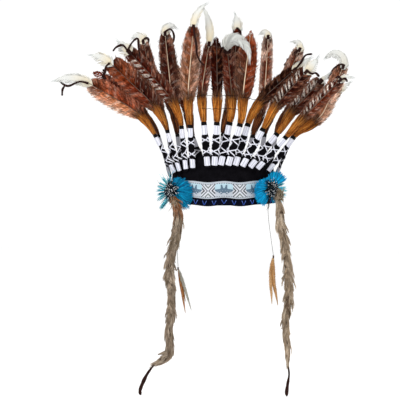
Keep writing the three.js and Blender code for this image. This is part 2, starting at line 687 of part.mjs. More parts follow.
// A thread with a bundle of hackles knotted on its end.
function hangingDrop(side) {
  const behind = STRIP_LAYER + STRIP_THICK * half + GAP + THREAD * half;
  const top = rosetteMiddle(side, ROSETTE_STANDOFF - behind).add(vector(0, 0, -HUB_RADIUS - GAP));
  const route = THREAD_ROUTES[side].map((point) => vector(...point));
  const path = new THREE.CatmullRomCurve3(route, false, "centripetal");
  const section = new THREE.Shape().absarc(0, 0, THREAD * half, 0, Math.PI * 2);
  const thread = new THREE.ExtrudeGeometry(section, {
    steps: Math.round(path.getLength() / (THREAD * THREAD_STEP)),
    curveSegments: 4,
    bevelEnabled: false,
    extrudePath: path,
  });
  const bundle = new THREE.Group();
  const knot = new THREE.CylinderGeometry(KNOT_WIDTH * half, KNOT_WIDTH * half, KNOT_LENGTH, 8);
  knot.rotateX(Math.PI * half).translate(0, 0, -KNOT_LENGTH * half);
  const hackles = fused([knot, ...DROP_HACKLES[side].map(hackle)]);
  bundle.position.copy(route[route.length - 1]).add(vector(0, 0, -GAP));
  bundle.add(named("feather_drop_" + side, geometryOf(hackles), "hackle"));
  const group = new THREE.Group();
  group.position.copy(top);
  group.add(named("drop_thread_" + side, thread, "thread"), bundle);
  return group;
}

const group = new THREE.Group();
group.add(feltCrown(), hemBand(), browBand());
FRONT_FEATHERS.forEach((row, i) => group.add(featherStem("front_" + (i + 1), row)));
BACK_FEATHERS.forEach((row, i) => group.add(featherStem("back_" + (i + 1), row)));
for (const side of ["left", "right"]) group.add(rosette(side), hangingTail(side), hangingDrop(side));

export default group;
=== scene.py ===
"""Dresses the feathered headdress for its picture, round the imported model.

Felt, cloth, tape, yarn, barbs, hair and leather are each built strand by strand or wall by wall from the
same sizes as the part. Lengths in this file are in millimetres and become metres when a piece is made.
"""

import math

import bpy
import numpy as np
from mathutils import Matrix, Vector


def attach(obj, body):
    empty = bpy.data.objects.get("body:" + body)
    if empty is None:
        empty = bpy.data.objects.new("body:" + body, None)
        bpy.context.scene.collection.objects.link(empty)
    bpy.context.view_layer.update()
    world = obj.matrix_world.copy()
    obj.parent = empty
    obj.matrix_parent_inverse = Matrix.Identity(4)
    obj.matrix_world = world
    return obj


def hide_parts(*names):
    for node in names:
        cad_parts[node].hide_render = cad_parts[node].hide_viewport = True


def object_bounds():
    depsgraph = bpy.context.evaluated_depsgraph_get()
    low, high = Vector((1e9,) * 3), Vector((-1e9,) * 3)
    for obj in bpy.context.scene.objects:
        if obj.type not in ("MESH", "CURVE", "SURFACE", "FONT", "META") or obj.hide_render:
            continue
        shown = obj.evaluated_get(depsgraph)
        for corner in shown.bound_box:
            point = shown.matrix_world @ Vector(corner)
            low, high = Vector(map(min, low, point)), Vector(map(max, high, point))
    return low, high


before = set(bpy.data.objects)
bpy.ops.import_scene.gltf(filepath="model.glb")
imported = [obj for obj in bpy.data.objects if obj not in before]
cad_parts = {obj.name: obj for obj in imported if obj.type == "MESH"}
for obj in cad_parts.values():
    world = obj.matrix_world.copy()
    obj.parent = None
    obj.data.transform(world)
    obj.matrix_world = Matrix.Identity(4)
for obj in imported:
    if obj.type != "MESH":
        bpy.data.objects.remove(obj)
cad_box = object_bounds()

MM = 0.001
SRGB_BEND = 0.04045  # where the sRGB curve turns from straight to bent

# The part's own sizes
HEAD_WIDTH, HEAD_DEPTH, FELT = 169, 199, 2.5
CROWN_FRONT, CROWN_SIDE, CROWN_BACK, CROWN_PEAK, CROWN_TAPER = 85, 70, 75, 1.5, 0.05
RIM_LIFT, RIM_WAVE, RIM_WAVES, GAP = 5, 1.5, 9, 0.35
HEM_HEIGHT, HEM_THICK, BAND_HEIGHT, BAND_THICK, BAND_REACH = 11.5, 2.2, 26.5, 1.2, math.radians(54)
SEAM_LAP, SLEEVE_LENGTH, SLEEVE_WIDTH, SLEEVE_THICK, TAPE_THICK = 23.5, 75, 9.6, 6, 0.5
FLUFF_LENGTH, VANE_LENGTH, VANE_WIDTH, TIP_LENGTH, TIP_WIDTH, VANE_CAMBER = 40, 112, 30, 50, 14, 0.1
ROSETTE_RADIUS, ROSETTE_STANDOFF, HUB_RADIUS, HUB_THICK = 34, 11, 9, 3
ROSETTE_FACING = math.radians(42)
STRIP_THICK, STRIP_LAYER = 1, 1.3
TAIL_LENGTH, TAIL_WIDTH, TAIL_THICK = 260, 19, 14
THONG_LENGTH, THONG_WIDTH, THONG_THICK, THREAD = 56, 6, 1.8, 0.9
DROP_LENGTH, DROP_WIDTH, KNOT_LENGTH, KNOT_WIDTH = 82, 5.2, 5, 2.6

# Steps of a curve between two of its points, steps of the girth and the height that it is measured at
CURVE_STEPS, GIRTH_STEPS, GIRTH_HEIGHT = 24, 1440, 20
# The way between two stitches of the hem, turns of a knot's thread and the length of one twist of a cord
STITCH_PITCH, KNOT_TURNS, TWIST = 15.4, 7, 3
# Where the tapes lie, as shares of a sleeve, their turns, and the turns of the thread at the sleeve's top
LOW_TAPE, HIGH_TAPE, TAPE_TURNS, BINDING_TURNS = (0.055, 0.25), (0.72, 0.92), 9, 5
# The way between two barbs and how far they slant, in a vane and in a plume, and the columns of a vane's web
BARB_SPACING, VANE_SLANT, PLUME_SPACING, PLUME_SLANT, WEB_COLUMNS = 1.3, 0.95, 0.8, 1.7, 58
FAR_APART = 40.0  # how far a vane's two halves lie from each other on the material
# Points along a tail, its locks, the hairs of a lock, and the point where the left one bends near its end
TAIL_POINTS, TAIL_LOCKS, LOCK_HAIRS, TAIL_BEND = 140, 290, 15, 124
BLACK = (0, 0, 0)
# How much darker or brighter the barbs of each rosette are made, and how much fuller each bundle's hackles
# are
ROSETTE_BRIGHTNESS = {"left": 0.84, "right": 1.18}
DROP_FULLER = {"left": 1, "right": 1.4}

# The feathers, as in the part: turn, lean, neck, sweep, curl, flare, fall, face, long, wide, tip, plume
FEATHERS = {
    "front": [
        (-63.3, -28, -38, -60, -112, 3, 8, -25, 0.86, 1.2, 1.15, 1),
        (-54.2, -17, -30, -47, -90, 10, 14, -15, 0.92, 1.07, 0.67, 1.1),
        (-44.3, -6, -22, -43, -53, 3, 2, -20, 0.98, 0.85, 0.45, 1),
        (-34.9, -4, -4, 5, 55, 12, 8, -8, 1.05, 0.93, 0.81, 0.75),
        (-17.4, -5, -6, 9, -28, 4, 2, -12, 0.77, 0.6, 1.15, 0.75),
        (-10.2, 3, 0, -1, -6, 12, 16, 8, 0.77, 0.6, 0.2, 0.5),
        (-4, 12, 2, -6, 185, 4, 14, -6, 0.72, 0.8, 1.1, 1.2),
        (3.8, 16, 1, 7, 14, 12, 8, 5, 0.88, 1.17, 0.2, 0.5),
        (11.3, 17, 32, 48, 60, 3, 6, 12, 0.67, 0.75, 0.6, 0.85),
        (18.6, 29, 26, 43, 36, 12, 14, 12, 0.67, 1, 0.52, 1.1),
        (27, 39, 30, 44, 55, 3, 2, 18, 0.62, 0.95, 0.3, 0.5),
        (36.5, 42, 40, 45, 110, 11, 14, 20, 0.76, 0.75, 0.36, 0.6),
        (54, 37, 66, 23, -150, 2, 2, 25, 0.92, 1, 0.95, 0.95),
    ],
    "back": [
        (-86, -16, -40, -48, -78, -6, -12, -30, 0.86, 0.9, 0.4, 0.8),
        (-112, -9, -23, -13, -130, -12, -20, -20, 1.2, 0.85, 0.5, 1.2),
        (-130, -8, -10, -6, 130, -8, -12, -12, 1.24, 1.1, 0.55, 1),
        (-162, -20, -4, -19, -33, -13, -20, -8, 0.88, 0.8, 0.5, 1.1),
        (-179, 3, 17, 5, -20, -9, -14, 0, 1.33, 0.8, 0.55, 0.9),
        (156, 14, 24, 4, -135, -13, -20, 8, 1.3, 0.62, 0.4, 0.8),
        (137, 10, 22, 24, -105, -8, -14, 12, 1.1, 0.75, 0.45, 0.8),
        (117, 10, 32, 43, 62, -13, -18, 20, 0.65, 0.8, 0.3, 0.5),
        (97, 23, 40, 51, 56, -6, -10, 30, 0.68, 0.8, 0.42, 0.6),
    ],
}
# Each feather's colours: left half, right half, towards the tip. Then its pale bars (0 none, 1 on the left
# half, 2 on both), how pale its edges are (a pair is its left and its right edge), whether the plume at its
# tip is white (1) or brown (0), how pale the shaft is, how blunt the vane ends, and how deep the scallops of
# its edge are.
FEATHER_LOOKS = {
    "front_1": (0xE4B08A, 0xA05A40, 0xB06A44, 0, (1, 0.35), 1, 0.1, 0.6, 0.4),
    "front_2": (0x7A3820, 0x3C150E, 0xAC6034, 0, 0.25, 1, 0.1, 0.9, 0.5),
    "front_3": (0x5E2413, 0x501D10, 0x521D10, 1, 0.3, 1, 0.1, 1, 0.2),
    "front_4": (0x906A50, 0x967C70, 0x9A5A3C, 0, 0.55, 1, 1, 0.3, 0.1),
    "front_5": (0x8A4430, 0x6A2A1A, 0x521E12, 0, 0.5, 1, 0.8, 0.7, 0.2),
    "front_6": (0x3A140C, 0x220B07, 0x2E100A, 0, 0, 0, 0.1, 0.7, 0.2),
    "front_7": (0x7E3A24, 0x521E12, 0x46180F, 0, 0.4, 1, 0.3, 0.7, 0.3),
    "front_8": (0x59443D, 0x7C3C22, 0x86401F, 0, 0.2, 0, 1, 0.2, 1),
    "front_9": (0x220804, 0x2C0C06, 0x260A05, 0, 0.1, 1, 0.1, 0.6, 0.3),
    "front_10": (0x2C0C06, 0x40160C, 0x340F08, 1, 0.2, 1, 0.1, 1, 0.3),
    "front_11": (0x401208, 0x5C2210, 0x48160A, 1, 0.35, 1, 0.2, 0.8, 0.3),
    "front_12": (0x48180C, 0x703820, 0x521E12, 1, 0.4, 1, 0.2, 0.8, 0.4),
    "front_13": (0xC09880, 0xDCC6BA, 0xB0826A, 0, (0.55, 1), 1, 1, 0.9, 0.1),
    "back_1": (0x502114, 0x34140D, 0x6E2C1A, 0, 0.2, 0, 0.1, 0.5, 0.3),
    "back_2": (0x5C2615, 0x441A10, 0x40170E, 0, 0.3, 1, 0.2, 0.7, 0.4),
    "back_3": (0x4A1B12, 0x3C150E, 0x40170F, 0, 0.3, 1, 0.9, 0.5, 0.2),
    "back_4": (0x56200F, 0x42170E, 0x5C2414, 0, 0.2, 1, 0.1, 0.7, 0.5),
    "back_5": (0x421A11, 0x34140E, 0x30120C, 0, 0.2, 1, 0.2, 0.6, 0.2),
    "back_6": (0x7E452B, 0x8E5438, 0x5C2010, 0, 0.9, 1, 1, 1, 0.8),
    "back_7": (0x8E5A40, 0x9A6448, 0x5C2110, 0, 0.8, 1, 0.4, 0.9, 0.6),
    "back_8": (0x421910, 0x4A1F14, 0x421910, 0, 0.2, 1, 0.1, 0.6, 0.3),
    "back_9": (0x34130C, 0x421A11, 0x3A140C, 1, 0.2, 1, 0.1, 0.6, 0.3),
}
# Loose ends of the leather ties at the tips, from the tie, in millimetres to the right and up.
LOOSE_ENDS = {
    "front_1": [[(0, 0), (-14, 3), (-34, -4), (-44, 1), (-49, 8)], [(-38, -3), (-42, -9), (-43, -20)]],
    "front_2": [[(0, 0), (-6, -6), (-7, -14), (-9, -19)]],
    "front_3": [[(0, 0), (-8, 9), (-18, 6), (-24, -1)], [(0, 0), (7, 13), (16, 20), (18, 4), (20, -14)]],
    "front_4": [[(0, 0), (2, -14), (5, -32), (6, -46), (12, -58), (17, -63)]],
    "front_7": [[(0, 0), (-8, -4), (-13, -10)]],
    "front_9": [[(0, 0), (8, 10), (16, 22), (27, 24)]],
    "front_10": [[(0, 0), (7, -4), (13, -3), (19, -9)]],
    "front_12": [[(0, 0), (-4, 5), (-9, 3)], [(0, 0), (6, 2), (10, -3)]],
    "front_13": [[(0, 0), (-6, 2), (-16, -4), (-24, -16), (-27, -22)]],
    "back_1": [[(0, 0), (3, 6), (2, 13)]],
    "back_2": [[(0, 0), (7, 4), (11, 2), (9, -14)]],
    "back_3": [[(0, 0), (10, 5), (16, -4), (15, -16), (8, -26)]],
    "back_5": [[(0, 0), (6, -9), (3, -18)]],
    "back_7": [[(0, 0), (-14, -12), (-17, -16)], [(-22, -18), (-25, -26), (-29, -30)]],
}
# Width and length of the leather bound round the foot of a plume
USUAL_TIE = (5, 6)
TIES = {"front_4": (7, 16), "front_7": (10, 12), "back_5": (8, 12), "front_3": (7, 8), "front_11": (7, 7)}
# How full each plume is, how far its barbs droop and its tip sags, and how creamy it is
USUAL_HANG = (1, 1.5, 0, 0.7)
PLUME_HANG = {
    "front_1": (1.05, 1, 0, 0.6), "front_3": (1.3, 2, 0, 0.7), "front_4": (1, 0, 0, 0.75),
    "front_5": (1, 0, 0, 0.8), "front_7": (0.92, 3, 24, 0.12), "front_11": (1.15, 2, 0, 0.5),
    "front_13": (1, 3, 0, 0.25), "back_1": (1, 2, 0, 0.3), "back_5": (1.2, 2, 0, 0.5),
}
# How much broader than the part's smooth vane the real, ragged one is: left half, right half.
USUAL_BROADER = (1.05, 1.05)
BROADER = {
    "front_1": (1.15, 1.1), "front_2": (1.1, 1.45), "front_3": (1.2, 1.15), "front_4": (1.25, 1.2),
    "front_5": (1.12, 1.2), "front_6": (1.15, 1.15), "front_7": (1.15, 1.1), "front_9": (1.15, 1.15),
    "front_12": (1.1, 1.15), "back_6": (1.3, 1.3), "back_7": (1.25, 1.25),
}
# Half widths of a vane and of a plume at shares of their lengths, as in the part, and of a blunt vane
VANE_AT = [0, 0.06, 0.2, 0.38, 0.56, 0.74, 0.9, 1]
VANE_LEFT = [0.5, 0.72, 0.95, 1, 0.98, 0.86, 0.6, 0.2]
VANE_RIGHT = [0.5, 0.66, 0.86, 1, 0.96, 0.9, 0.62, 0.2]
VANE_BLUNT = [0.5, 0.7, 0.93, 1, 1, 0.98, 0.9, 0.66]
PLUME_AT = [0, 0.12, 0.4, 0.72, 1]
PLUME_LEFT = [0.7, 1.1, 1.14, 0.8, 0.14]
PLUME_RIGHT = [0.66, 1.04, 1.16, 0.84, 0.2]

# Strips of the rosettes, as in the part: turn, reach, wide
STRIPS = {
    "left": [(0, 1.33, 1.15), (17, 1.16, 1.1), (40, 0.85, 1.1), (71, 0.63, 0.9), (111, 0.63, 0.5),
             (138, 0.92, 0.55), (155, 0.89, 0.35), (168, 1.06, 0.4), (180, 1.01, 0.3), (192, 1.06, 0.35),
             (207, 1.06, 0.45), (228, 1.26, 0.7), (301, 1.0, 0.9), (322, 1.39, 1.2), (342, 1.4, 1.2)],
    "right": [(1, 1.01, 0.5), (14, 0.96, 0.4), (28, 1.16, 0.9), (48, 1.05, 1), (73, 0.82, 0.8),
              (109, 0.53, 0.8), (142, 0.67, 0.9), (162, 0.91, 0.9), (179, 1.08, 1.1), (195, 1.11, 1.15),
              (214, 1.13, 1.15), (239, 0.98, 1), (291, 0.78, 1.1), (340, 1.09, 0.4), (353, 1.07, 0.35)],
}
# Where each rosette sits, as in the part: turn, height, sign of its side, then its tail's across and down
ROSETTES = {"left": (-61, 25.5, -1, 8, 14.5), "right": (52.5, 28.8, 1, 4.5, 14.5)}
# Lines of the tails and their leather ends, as in the part: across, ahead, down, half width
TAIL_LINES = {
    "left": [(0, 0, 0, 0.3), (0.018, 0.035, 0.058, 0.46), (0.022, 0.045, 0.166, 0.5),
             (-0.001, 0.045, 0.28, 0.47), (-0.024, 0.045, 0.38, 0.46), (-0.028, 0.045, 0.474, 0.52),
             (-0.016, 0.045, 0.59, 0.47), (-0.02, 0.045, 0.705, 0.44), (-0.034, 0.045, 0.82, 0.4),
             (-0.028, 0.045, 0.92, 0.4), (-0.036, 0.045, 0.965, 0.42), (-0.072, 0.045, 0.998, 0.36),
             (-0.117, 0.045, 1.02, 0.2)],
    "right": [(0, 0, 0, 0.3), (0.018, 0, 0.06, 0.42), (0.026, 0, 0.17, 0.42), (0.046, 0, 0.26, 0.42),
              (0.062, 0, 0.37, 0.46), (0.072, 0, 0.48, 0.47), (0.078, 0, 0.6, 0.45), (0.066, 0, 0.72, 0.4),
              (0.058, 0, 0.83, 0.36), (0.068, 0, 0.94, 0.32), (0.072, 0, 1.04, 0.18)],
}
THONG_LINES = {
    "left": [(0, 0, 0, 0.16), (-0.19, 0, 0.24, 0.3), (-0.33, 0, 0.5, 0.44), (-0.43, 0, 0.78, 0.36),
             (-0.41, 0, 0.9, 0.46)],
    "right": [(0, 0, 0, 0.22), (0.03, 0, 0.28, 0.2), (-0.01, 0, 0.56, 0.34), (-0.04, 0, 0.82, 0.44),
              (-0.03, 0, 0.92, 0.3)],
}
THREAD_ROUTES = {
    "left": [(0, 0, 0), (1, -1.5, -5), (2.5, -4.5, -12), (3.5, -6, -22), (5, -7, -50), (6.5, -8, -85),
             (8, -9, -115)],
    "right": [(0, 0, 0), (-1, -0.5, -8), (-3, -1, -21), (-2, -1, -42), (1.5, -1, -70), (5.6, -1, -99)],
}
# The hackles of each bundle, as in the part: lean, ahead, long. Then the colour.
DROP_HACKLES = {
    "left": [(9.5, 5, 0.93, 0x94521F), (18, 7, 0.9, 0x9C988C), (13, 3, 0.7, 0x7A5638)],
    "right": [(-3, 0, 0.98, 0xBC9468), (4, 2, 1, 0xAA7C4C), (0, -3, 0.75, 0xCDB695)],
}


def linear(colour):
    """The linear red, green and blue of an sRGB hex colour."""
    parts = [(colour >> shift & 255) / 255 for shift in (16, 8, 0)]
    return np.array([c / 12.92 if c <= SRGB_BEND else ((c + 0.055) / 1.055) ** 2.4 for c in parts])


def paint(colour):
    """The same colour with the alpha that a node's socket wants."""
    return (*linear(colour), 1)


def unit(vectors):
    return vectors / np.maximum(np.linalg.norm(vectors, axis=-1, keepdims=True), 1e-9)


def span(count, *between):
    """Even shares from 0 to 1, or between two values, as one row."""
    return np.linspace(*(between or (0, 1)), count)[None]


def laid(across, along, through=0.0):
    """Places on a material: millimetres across it, along it and through it, for each point."""
    return np.stack(np.broadcast_arrays(across, along, through), -1).astype(float)


def seeded(first, side):
    """Random draws of a left or a right piece, the same every time."""
    return np.random.default_rng(first + (side == "right"))


# The camera stands level with the brow, straight in front, far enough for a long lens.
camera = bpy.data.objects.new("camera", bpy.data.cameras.new("camera"))
bpy.context.scene.collection.objects.link(camera)
camera.data.lens, camera.data.sensor_width = 150, 36
camera.data.clip_start, camera.data.clip_end = 0.1, 30
camera.location = (-0.0384, -2.767, 0.0096)
camera.rotation_euler = (math.pi / 2, 0, 0)
bpy.context.scene.camera = camera


class Made:
    """Points, faces, finishes, tints and places on the material, gathered for one piece."""

    def __init__(self):
        self.points, self.tints, self.places, self.faces, self.finishes = [], [], [], [], []
        self.count = 0

    def add(self, points, faces, finish, tint, place):
        """Adds points (n, 3) and lists of faces. The tint and the place are given per point or once."""
        n = len(points)
        self.points.append(points)
        self.tints.append(np.broadcast_to(tint, (n, 3)))
        self.places.append(np.broadcast_to(place, (n, 3)))
        for group in faces:
            self.faces.append(np.asarray(group) + self.count)
            self.finishes.append(np.full(len(group), finish))
        self.count += n

    def rods(self, paths, wide, thick, face, finish, tint, place=(0, 0, 0), sides=3):
        """Closed rods along paths (n, k, 3), wide across and thick towards face, one ring to a point."""
        paths = np.asarray(paths, float)
        n, k, _ = paths.shape
        wide, thick = (np.broadcast_to(size, (n, k))[:, :, None, None] for size in (wide, thick))
        along = unit(np.gradient(paths, axis=1))
        face = np.broadcast_to(face, paths.shape)
        face = unit(face - (face * along).sum(-1, keepdims=True) * along)
        side = np.cross(along, face)
        turn = math.pi / 2 + np.arange(sides) * 2 * math.pi / sides
        across, through = np.cos(turn)[None, None, :, None], np.sin(turn)[None, None, :, None]
        rings = (paths[:, :, None] + side[:, :, None] * across * wide / 2
                 + face[:, :, None] * through * thick / 2)
        rod, ring, s = np.meshgrid(np.arange(n), np.arange(k - 1), np.arange(sides), indexing="ij")
        here, there = (rod * k + ring) * sides, (rod * k + ring + 1) * sides
        after = (s + 1) % sides
        quads = np.stack([here + s, there + s, there + after, here + after], -1).reshape(-1, 4)
        first = (np.arange(n) * k * sides)[:, None] + np.arange(sides)
        last = (np.arange(n) * k * sides + (k - 1) * sides)[:, None] + np.arange(sides)[::-1]
        shapes = [(*np.shape(v)[:2], 1, 3) if np.ndim(v) == 3 else (-1, 1, 1, 3) for v in (tint, place)]
        spread = [np.broadcast_to(np.asarray(v, float).reshape(shape), (n, k, sides, 3)).reshape(-1, 3)
                  for v, shape in zip((tint, place), shapes)]
        self.add(rings.reshape(-1, 3), [quads, first, last], finish, *spread)

    def loft(self, rings, finish, tint, place, loop=False):
        """A closed wall through rings (m, p, 3) of points, which run on in a loop or end in flat faces."""
        m, p, _ = rings.shape
        ring, s = np.meshgrid(np.arange(m if loop else m - 1), np.arange(p), indexing="ij")
        here, there, after = ring * p, (ring + 1) % m * p, (s + 1) % p
        quads = np.stack([here + s, here + after, there + after, there + s], -1).reshape(-1, 4)
        ends = [] if loop else [np.arange(p)[None, ::-1], ((m - 1) * p + np.arange(p))[None]]
        flat = rings.reshape(-1, 3)
        a, b, c, d = (flat[quads[:, i]] for i in range(4))
        if np.einsum("ij,ij->i", a + b, np.cross(c - a, d - b)).sum() < 0:
            quads, ends = quads[:, ::-1], [end[:, ::-1] for end in ends]
        self.add(flat, [quads, *ends], finish, tint, place.reshape(-1, 3))

    def piece(self, name, materials, node, slot, smooth=True):
        """Makes the object in metres, riding on the root and standing for its node."""
        mesh = bpy.data.meshes.new(name)
        points = np.concatenate(self.points)
        corners = np.concatenate([group.ravel() for group in self.faces])
        sizes = np.concatenate([np.full(len(group), group.shape[1]) for group in self.faces])
        mesh.vertices.add(len(points))
        mesh.vertices.foreach_set("co", (points * MM).astype(np.float32).ravel())
        mesh.loops.add(len(corners))
        mesh.loops.foreach_set("vertex_index", corners.astype(np.int32))
        mesh.polygons.add(len(sizes))
        starts = np.concatenate([[0], np.cumsum(sizes)[:-1]])
        mesh.polygons.foreach_set("loop_start", starts.astype(np.int32))
        mesh.polygons.foreach_set("material_index", np.concatenate(self.finishes).astype(np.int32))
        mesh.polygons.foreach_set("use_smooth", np.full(len(sizes), smooth))
        for material in materials:
            mesh.materials.append(material)
        mesh.update(calc_edges=True)
        rgba = np.concatenate([np.concatenate(self.tints), np.ones((len(points), 1))], 1)
        layers = (("tint", "FLOAT_COLOR", "color", rgba),
                  ("place", "FLOAT_VECTOR", "vector", np.concatenate(self.places)))
        for attribute, kind, key, values in layers:
            layer = mesh.attributes.new(attribute, kind, "POINT")
            layer.data.foreach_set(key, values.astype(np.float32).ravel())
        made = bpy.data.objects.new(name, mesh)
        bpy.context.scene.collection.objects.link(made)
        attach(made, "root")
        if node:
            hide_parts(node)
        return made


FELT_WIDE, FELT_DEEP = HEAD_WIDTH / 2 + FELT, HEAD_DEPTH / 2 + FELT


def felt_normal(turn):
    return unit(np.stack([np.sin(turn) / FELT_WIDE, -np.cos(turn) / FELT_DEEP, np.zeros_like(turn)], -1))


def beside_felt(turn, height, out):
    """Points beside the felt's outer face, at turns in radians from the forehead."""
    turn, height, out = np.broadcast_arrays(*(np.asarray(v, float) for v in (turn, height, out)))
    base = np.stack([FELT_WIDE * np.sin(turn), -FELT_DEEP * np.cos(turn), height], -1)
    return base + felt_normal(turn) * (out - CROWN_TAPER * height)[..., None]


def rim_height(turn):
    wave = RIM_WAVE * np.cos(RIM_WAVES * turn) * np.maximum(0, np.cos(turn)) ** 6
    return RIM_LIFT * np.sin(turn) ** 2 + wave


def crown_height(turn):
    ahead = np.maximum(0, np.cos(turn)) ** CROWN_PEAK
    behind = np.maximum(0, -np.cos(turn)) ** CROWN_PEAK
    return CROWN_SIDE + (CROWN_FRONT - CROWN_SIDE) * ahead + (CROWN_BACK - CROWN_SIDE) * behind


def distance(points):
    """The way along a line of points to each of them, from the first."""
    return np.concatenate([[0], np.cumsum(np.linalg.norm(np.diff(points, axis=0), axis=1))])


def girth_at(turn):
    """Length round the felt from the forehead, in millimetres, at turns in radians."""
    fine = np.linspace(-math.pi, math.pi, GIRTH_STEPS + 1)
    length = distance(beside_felt(fine, GIRTH_HEIGHT, 0))
    return np.interp(turn, fine, length - length[GIRTH_STEPS // 2])


def turn_at(girth):
    """The turn in radians at a length round the felt from the forehead."""
    fine = np.linspace(-math.pi, math.pi, GIRTH_STEPS + 1)
    return np.interp(girth, girth_at(fine), fine)


def smooth_line(points, count):
    """Evenly spaced points on the part's own kind of curve through a list of points."""
    points = np.asarray(points, float)
    ends = [2 * points[0, :3] - points[1, :3], 2 * points[-1, :3] - points[-2, :3]]
    guides = np.vstack([ends[0], points[:, :3], ends[1]])
    dense, extra = [], []
    for i in range(1, len(guides) - 2):
        p = guides[i - 1:i + 3]
        gaps = np.maximum(np.linalg.norm(np.diff(p, axis=0), axis=1) ** 0.5, 1e-4)
        before, over, after = np.diff(p, axis=0) / gaps[:, None]
        leave = (before - (p[2] - p[0]) / (gaps[0] + gaps[1]) + over) * gaps[1]
        arrive = (over - (p[3] - p[1]) / (gaps[1] + gaps[2]) + after) * gaps[1]
        t = np.linspace(0, 1, CURVE_STEPS, endpoint=i == len(guides) - 3)[:, None]
        bend = 2 * p[1] - 2 * p[2] + leave + arrive
        dense.append(p[1] + leave * t + (3 * (p[2] - p[1]) - 2 * leave - arrive) * t**2 + bend * t**3)
        extra.append(points[i - 1, 3:] + (points[i, 3:] - points[i - 1, 3:]) * t)
    dense, extra = np.vstack(dense), np.vstack(extra)
    length = distance(dense)
    at = np.linspace(0, length[-1], count)
    both = np.hstack([dense, extra])
    return np.stack([np.interp(at, length, column) for column in both.T], 1)


class Quill:
    """A feather's line, with the part's own angles: places, widths and faces at lengths along it."""

    def __init__(self, row):
        turn, lean, neck, sweep, curl, flare, fall, face, long, wide, tip, plume = row
        self.wide, self.plume = VANE_WIDTH * wide / 2, TIP_WIDTH * plume / 2
        self.fluff_end = SLEEVE_LENGTH + FLUFF_LENGTH
        self.vane_end = self.fluff_end + VANE_LENGTH * long
        self.end = self.vane_end + TIP_LENGTH * tip
        swept = self.fluff_end + VANE_LENGTH * long * 0.3
        neck_at = SLEEVE_LENGTH + FLUFF_LENGTH / 2
        self.sideways = ([0, SLEEVE_LENGTH, neck_at, swept, self.vane_end, self.end],
                         [lean, lean, neck, sweep, sweep, curl])
        self.forward = ([0, self.fluff_end, self.end], [flare, flare, fall])
        turn = math.radians(turn)
        normal = felt_normal(np.float64(turn))
        seated = math.degrees(math.atan2(normal[0], -normal[1]))
        back = 0 if abs(row[0]) < 90 else 180
        seated = (seated - back + 180) % 360 - 180
        faced = self.fluff_end + VANE_LENGTH * long * 0.25
        self.facing = ([0, SLEEVE_LENGTH, faced, self.end], [seated, seated, face, face])
        flat = (SLEEVE_THICK / 2 - TAPE_THICK) * math.cos(math.pi / 8)
        self.foot = beside_felt(turn, crown_height(turn) - SEAM_LAP, flat + GAP)
        self.steps = np.arange(0, self.end + 1, 1.0)
        headings = self.heading(self.steps[:-1] + 0.5)
        self.path = np.vstack([np.zeros(3), np.cumsum(headings, axis=0)]) + self.foot

    def heading(self, along):
        a, b = (np.radians(np.interp(along, *stops)) for stops in (self.sideways, self.forward))
        return np.stack([np.sin(a) * np.cos(b), -np.sin(b), np.cos(a) * np.cos(b)], -1)

    def at(self, along):
        """The place, across and through directions at each length."""
        along = np.asarray(along, float)
        place = np.stack([np.interp(along, self.steps, column) for column in self.path.T], -1)
        heading = self.heading(along)
        past = np.maximum(along - self.steps[-1], 0)
        face = np.radians(np.interp(along, *self.facing))
        through = np.stack([np.sin(face), -np.cos(face), np.zeros_like(face)], -1)
        through = unit(through - (through * heading).sum(-1, keepdims=True) * heading)
        return place + heading * past[..., None], np.cross(through, heading), through

    def beside(self, along, out, lift):
        """Points out across the line and lifted towards its face, and the way that it faces there."""
        place, across, through = self.at(along)
        return place + across * out[..., None] + through * lift[..., None], through


# Materials. Every strand carries its own tint, and its place gives millimetres across and along it.


def add(tree, kind, settings=None, **inputs):
    """Adds one node with its settings. An input is a number, a colour or another node's output."""
    made = tree.nodes.new("ShaderNode" + kind)
    for name, value in (settings or {}).items():
        setattr(made, name, value)
    for name, value in inputs.items():
        socket = made.inputs[int(name[1:]) if name[1:].isdigit() else name.replace("_", " ")]
        if isinstance(value, bpy.types.NodeSocket):
            tree.links.new(value, socket)
        else:
            socket.default_value = value
    return made


def begin(name, **surface):
    """A new material and its shader, with the values that are the same all over set on the sockets."""
    material = bpy.data.materials.new(name)
    material.use_nodes = True
    tree = material.node_tree
    shader = tree.nodes["Principled BSDF"]
    for socket, value in surface.items():
        shader.inputs[socket.replace("_", " ")].default_value = value
    return material, tree, shader


def carried(tree, name):
    """The tint or the place that every point of a piece carries."""
    return add(tree, "Attribute", {"attribute_name": name}).outputs["Color" if name == "tint" else "Vector"]


def dyed(tree, colour):
    """One colour all over."""
    base = add(tree, "RGB").outputs[0]
    base.default_value = paint(colour)
    return base


def grained(tree, scale, detail, low, high, stretch=(1, 1, 1)):
    """A noise of scale lumps to the millimetre on the places, brought between a low and a high value."""
    mapped = add(tree, "Mapping", Vector=carried(tree, "place"), Scale=stretch)
    noise = add(tree, "TexNoise", Vector=mapped.outputs[0], Scale=scale, Detail=detail)
    ranged = add(tree, "MapRange", i0=noise.outputs[0], i1=0.3, i2=0.7, i3=low, i4=high)
    return ranged.outputs[0]


def shaded(tree, colour, *values):
    """A colour made darker or lighter by each value."""
    for value in values:
        mix = add(tree, "Mix", {"data_type": "RGBA", "blend_type": "MULTIPLY"}, Factor=1.0)
        tree.links.new(colour, mix.inputs[6])
        tree.links.new(value, mix.inputs[7])
        colour = mix.outputs[2]
    return colour


def surfaced(tree, shader, colour, height=None, strength=0.5, depth=0.0002):
    """Gives the shader its colour and, by a height, its bumps of a depth in metres."""
    tree.links.new(colour, shader.inputs["Base Color"])
    if height is not None:
        raised = add(tree, "Bump", Strength=strength, Distance=depth, Height=height)
        tree.links.new(raised.outputs[0], shader.inputs["Normal"])


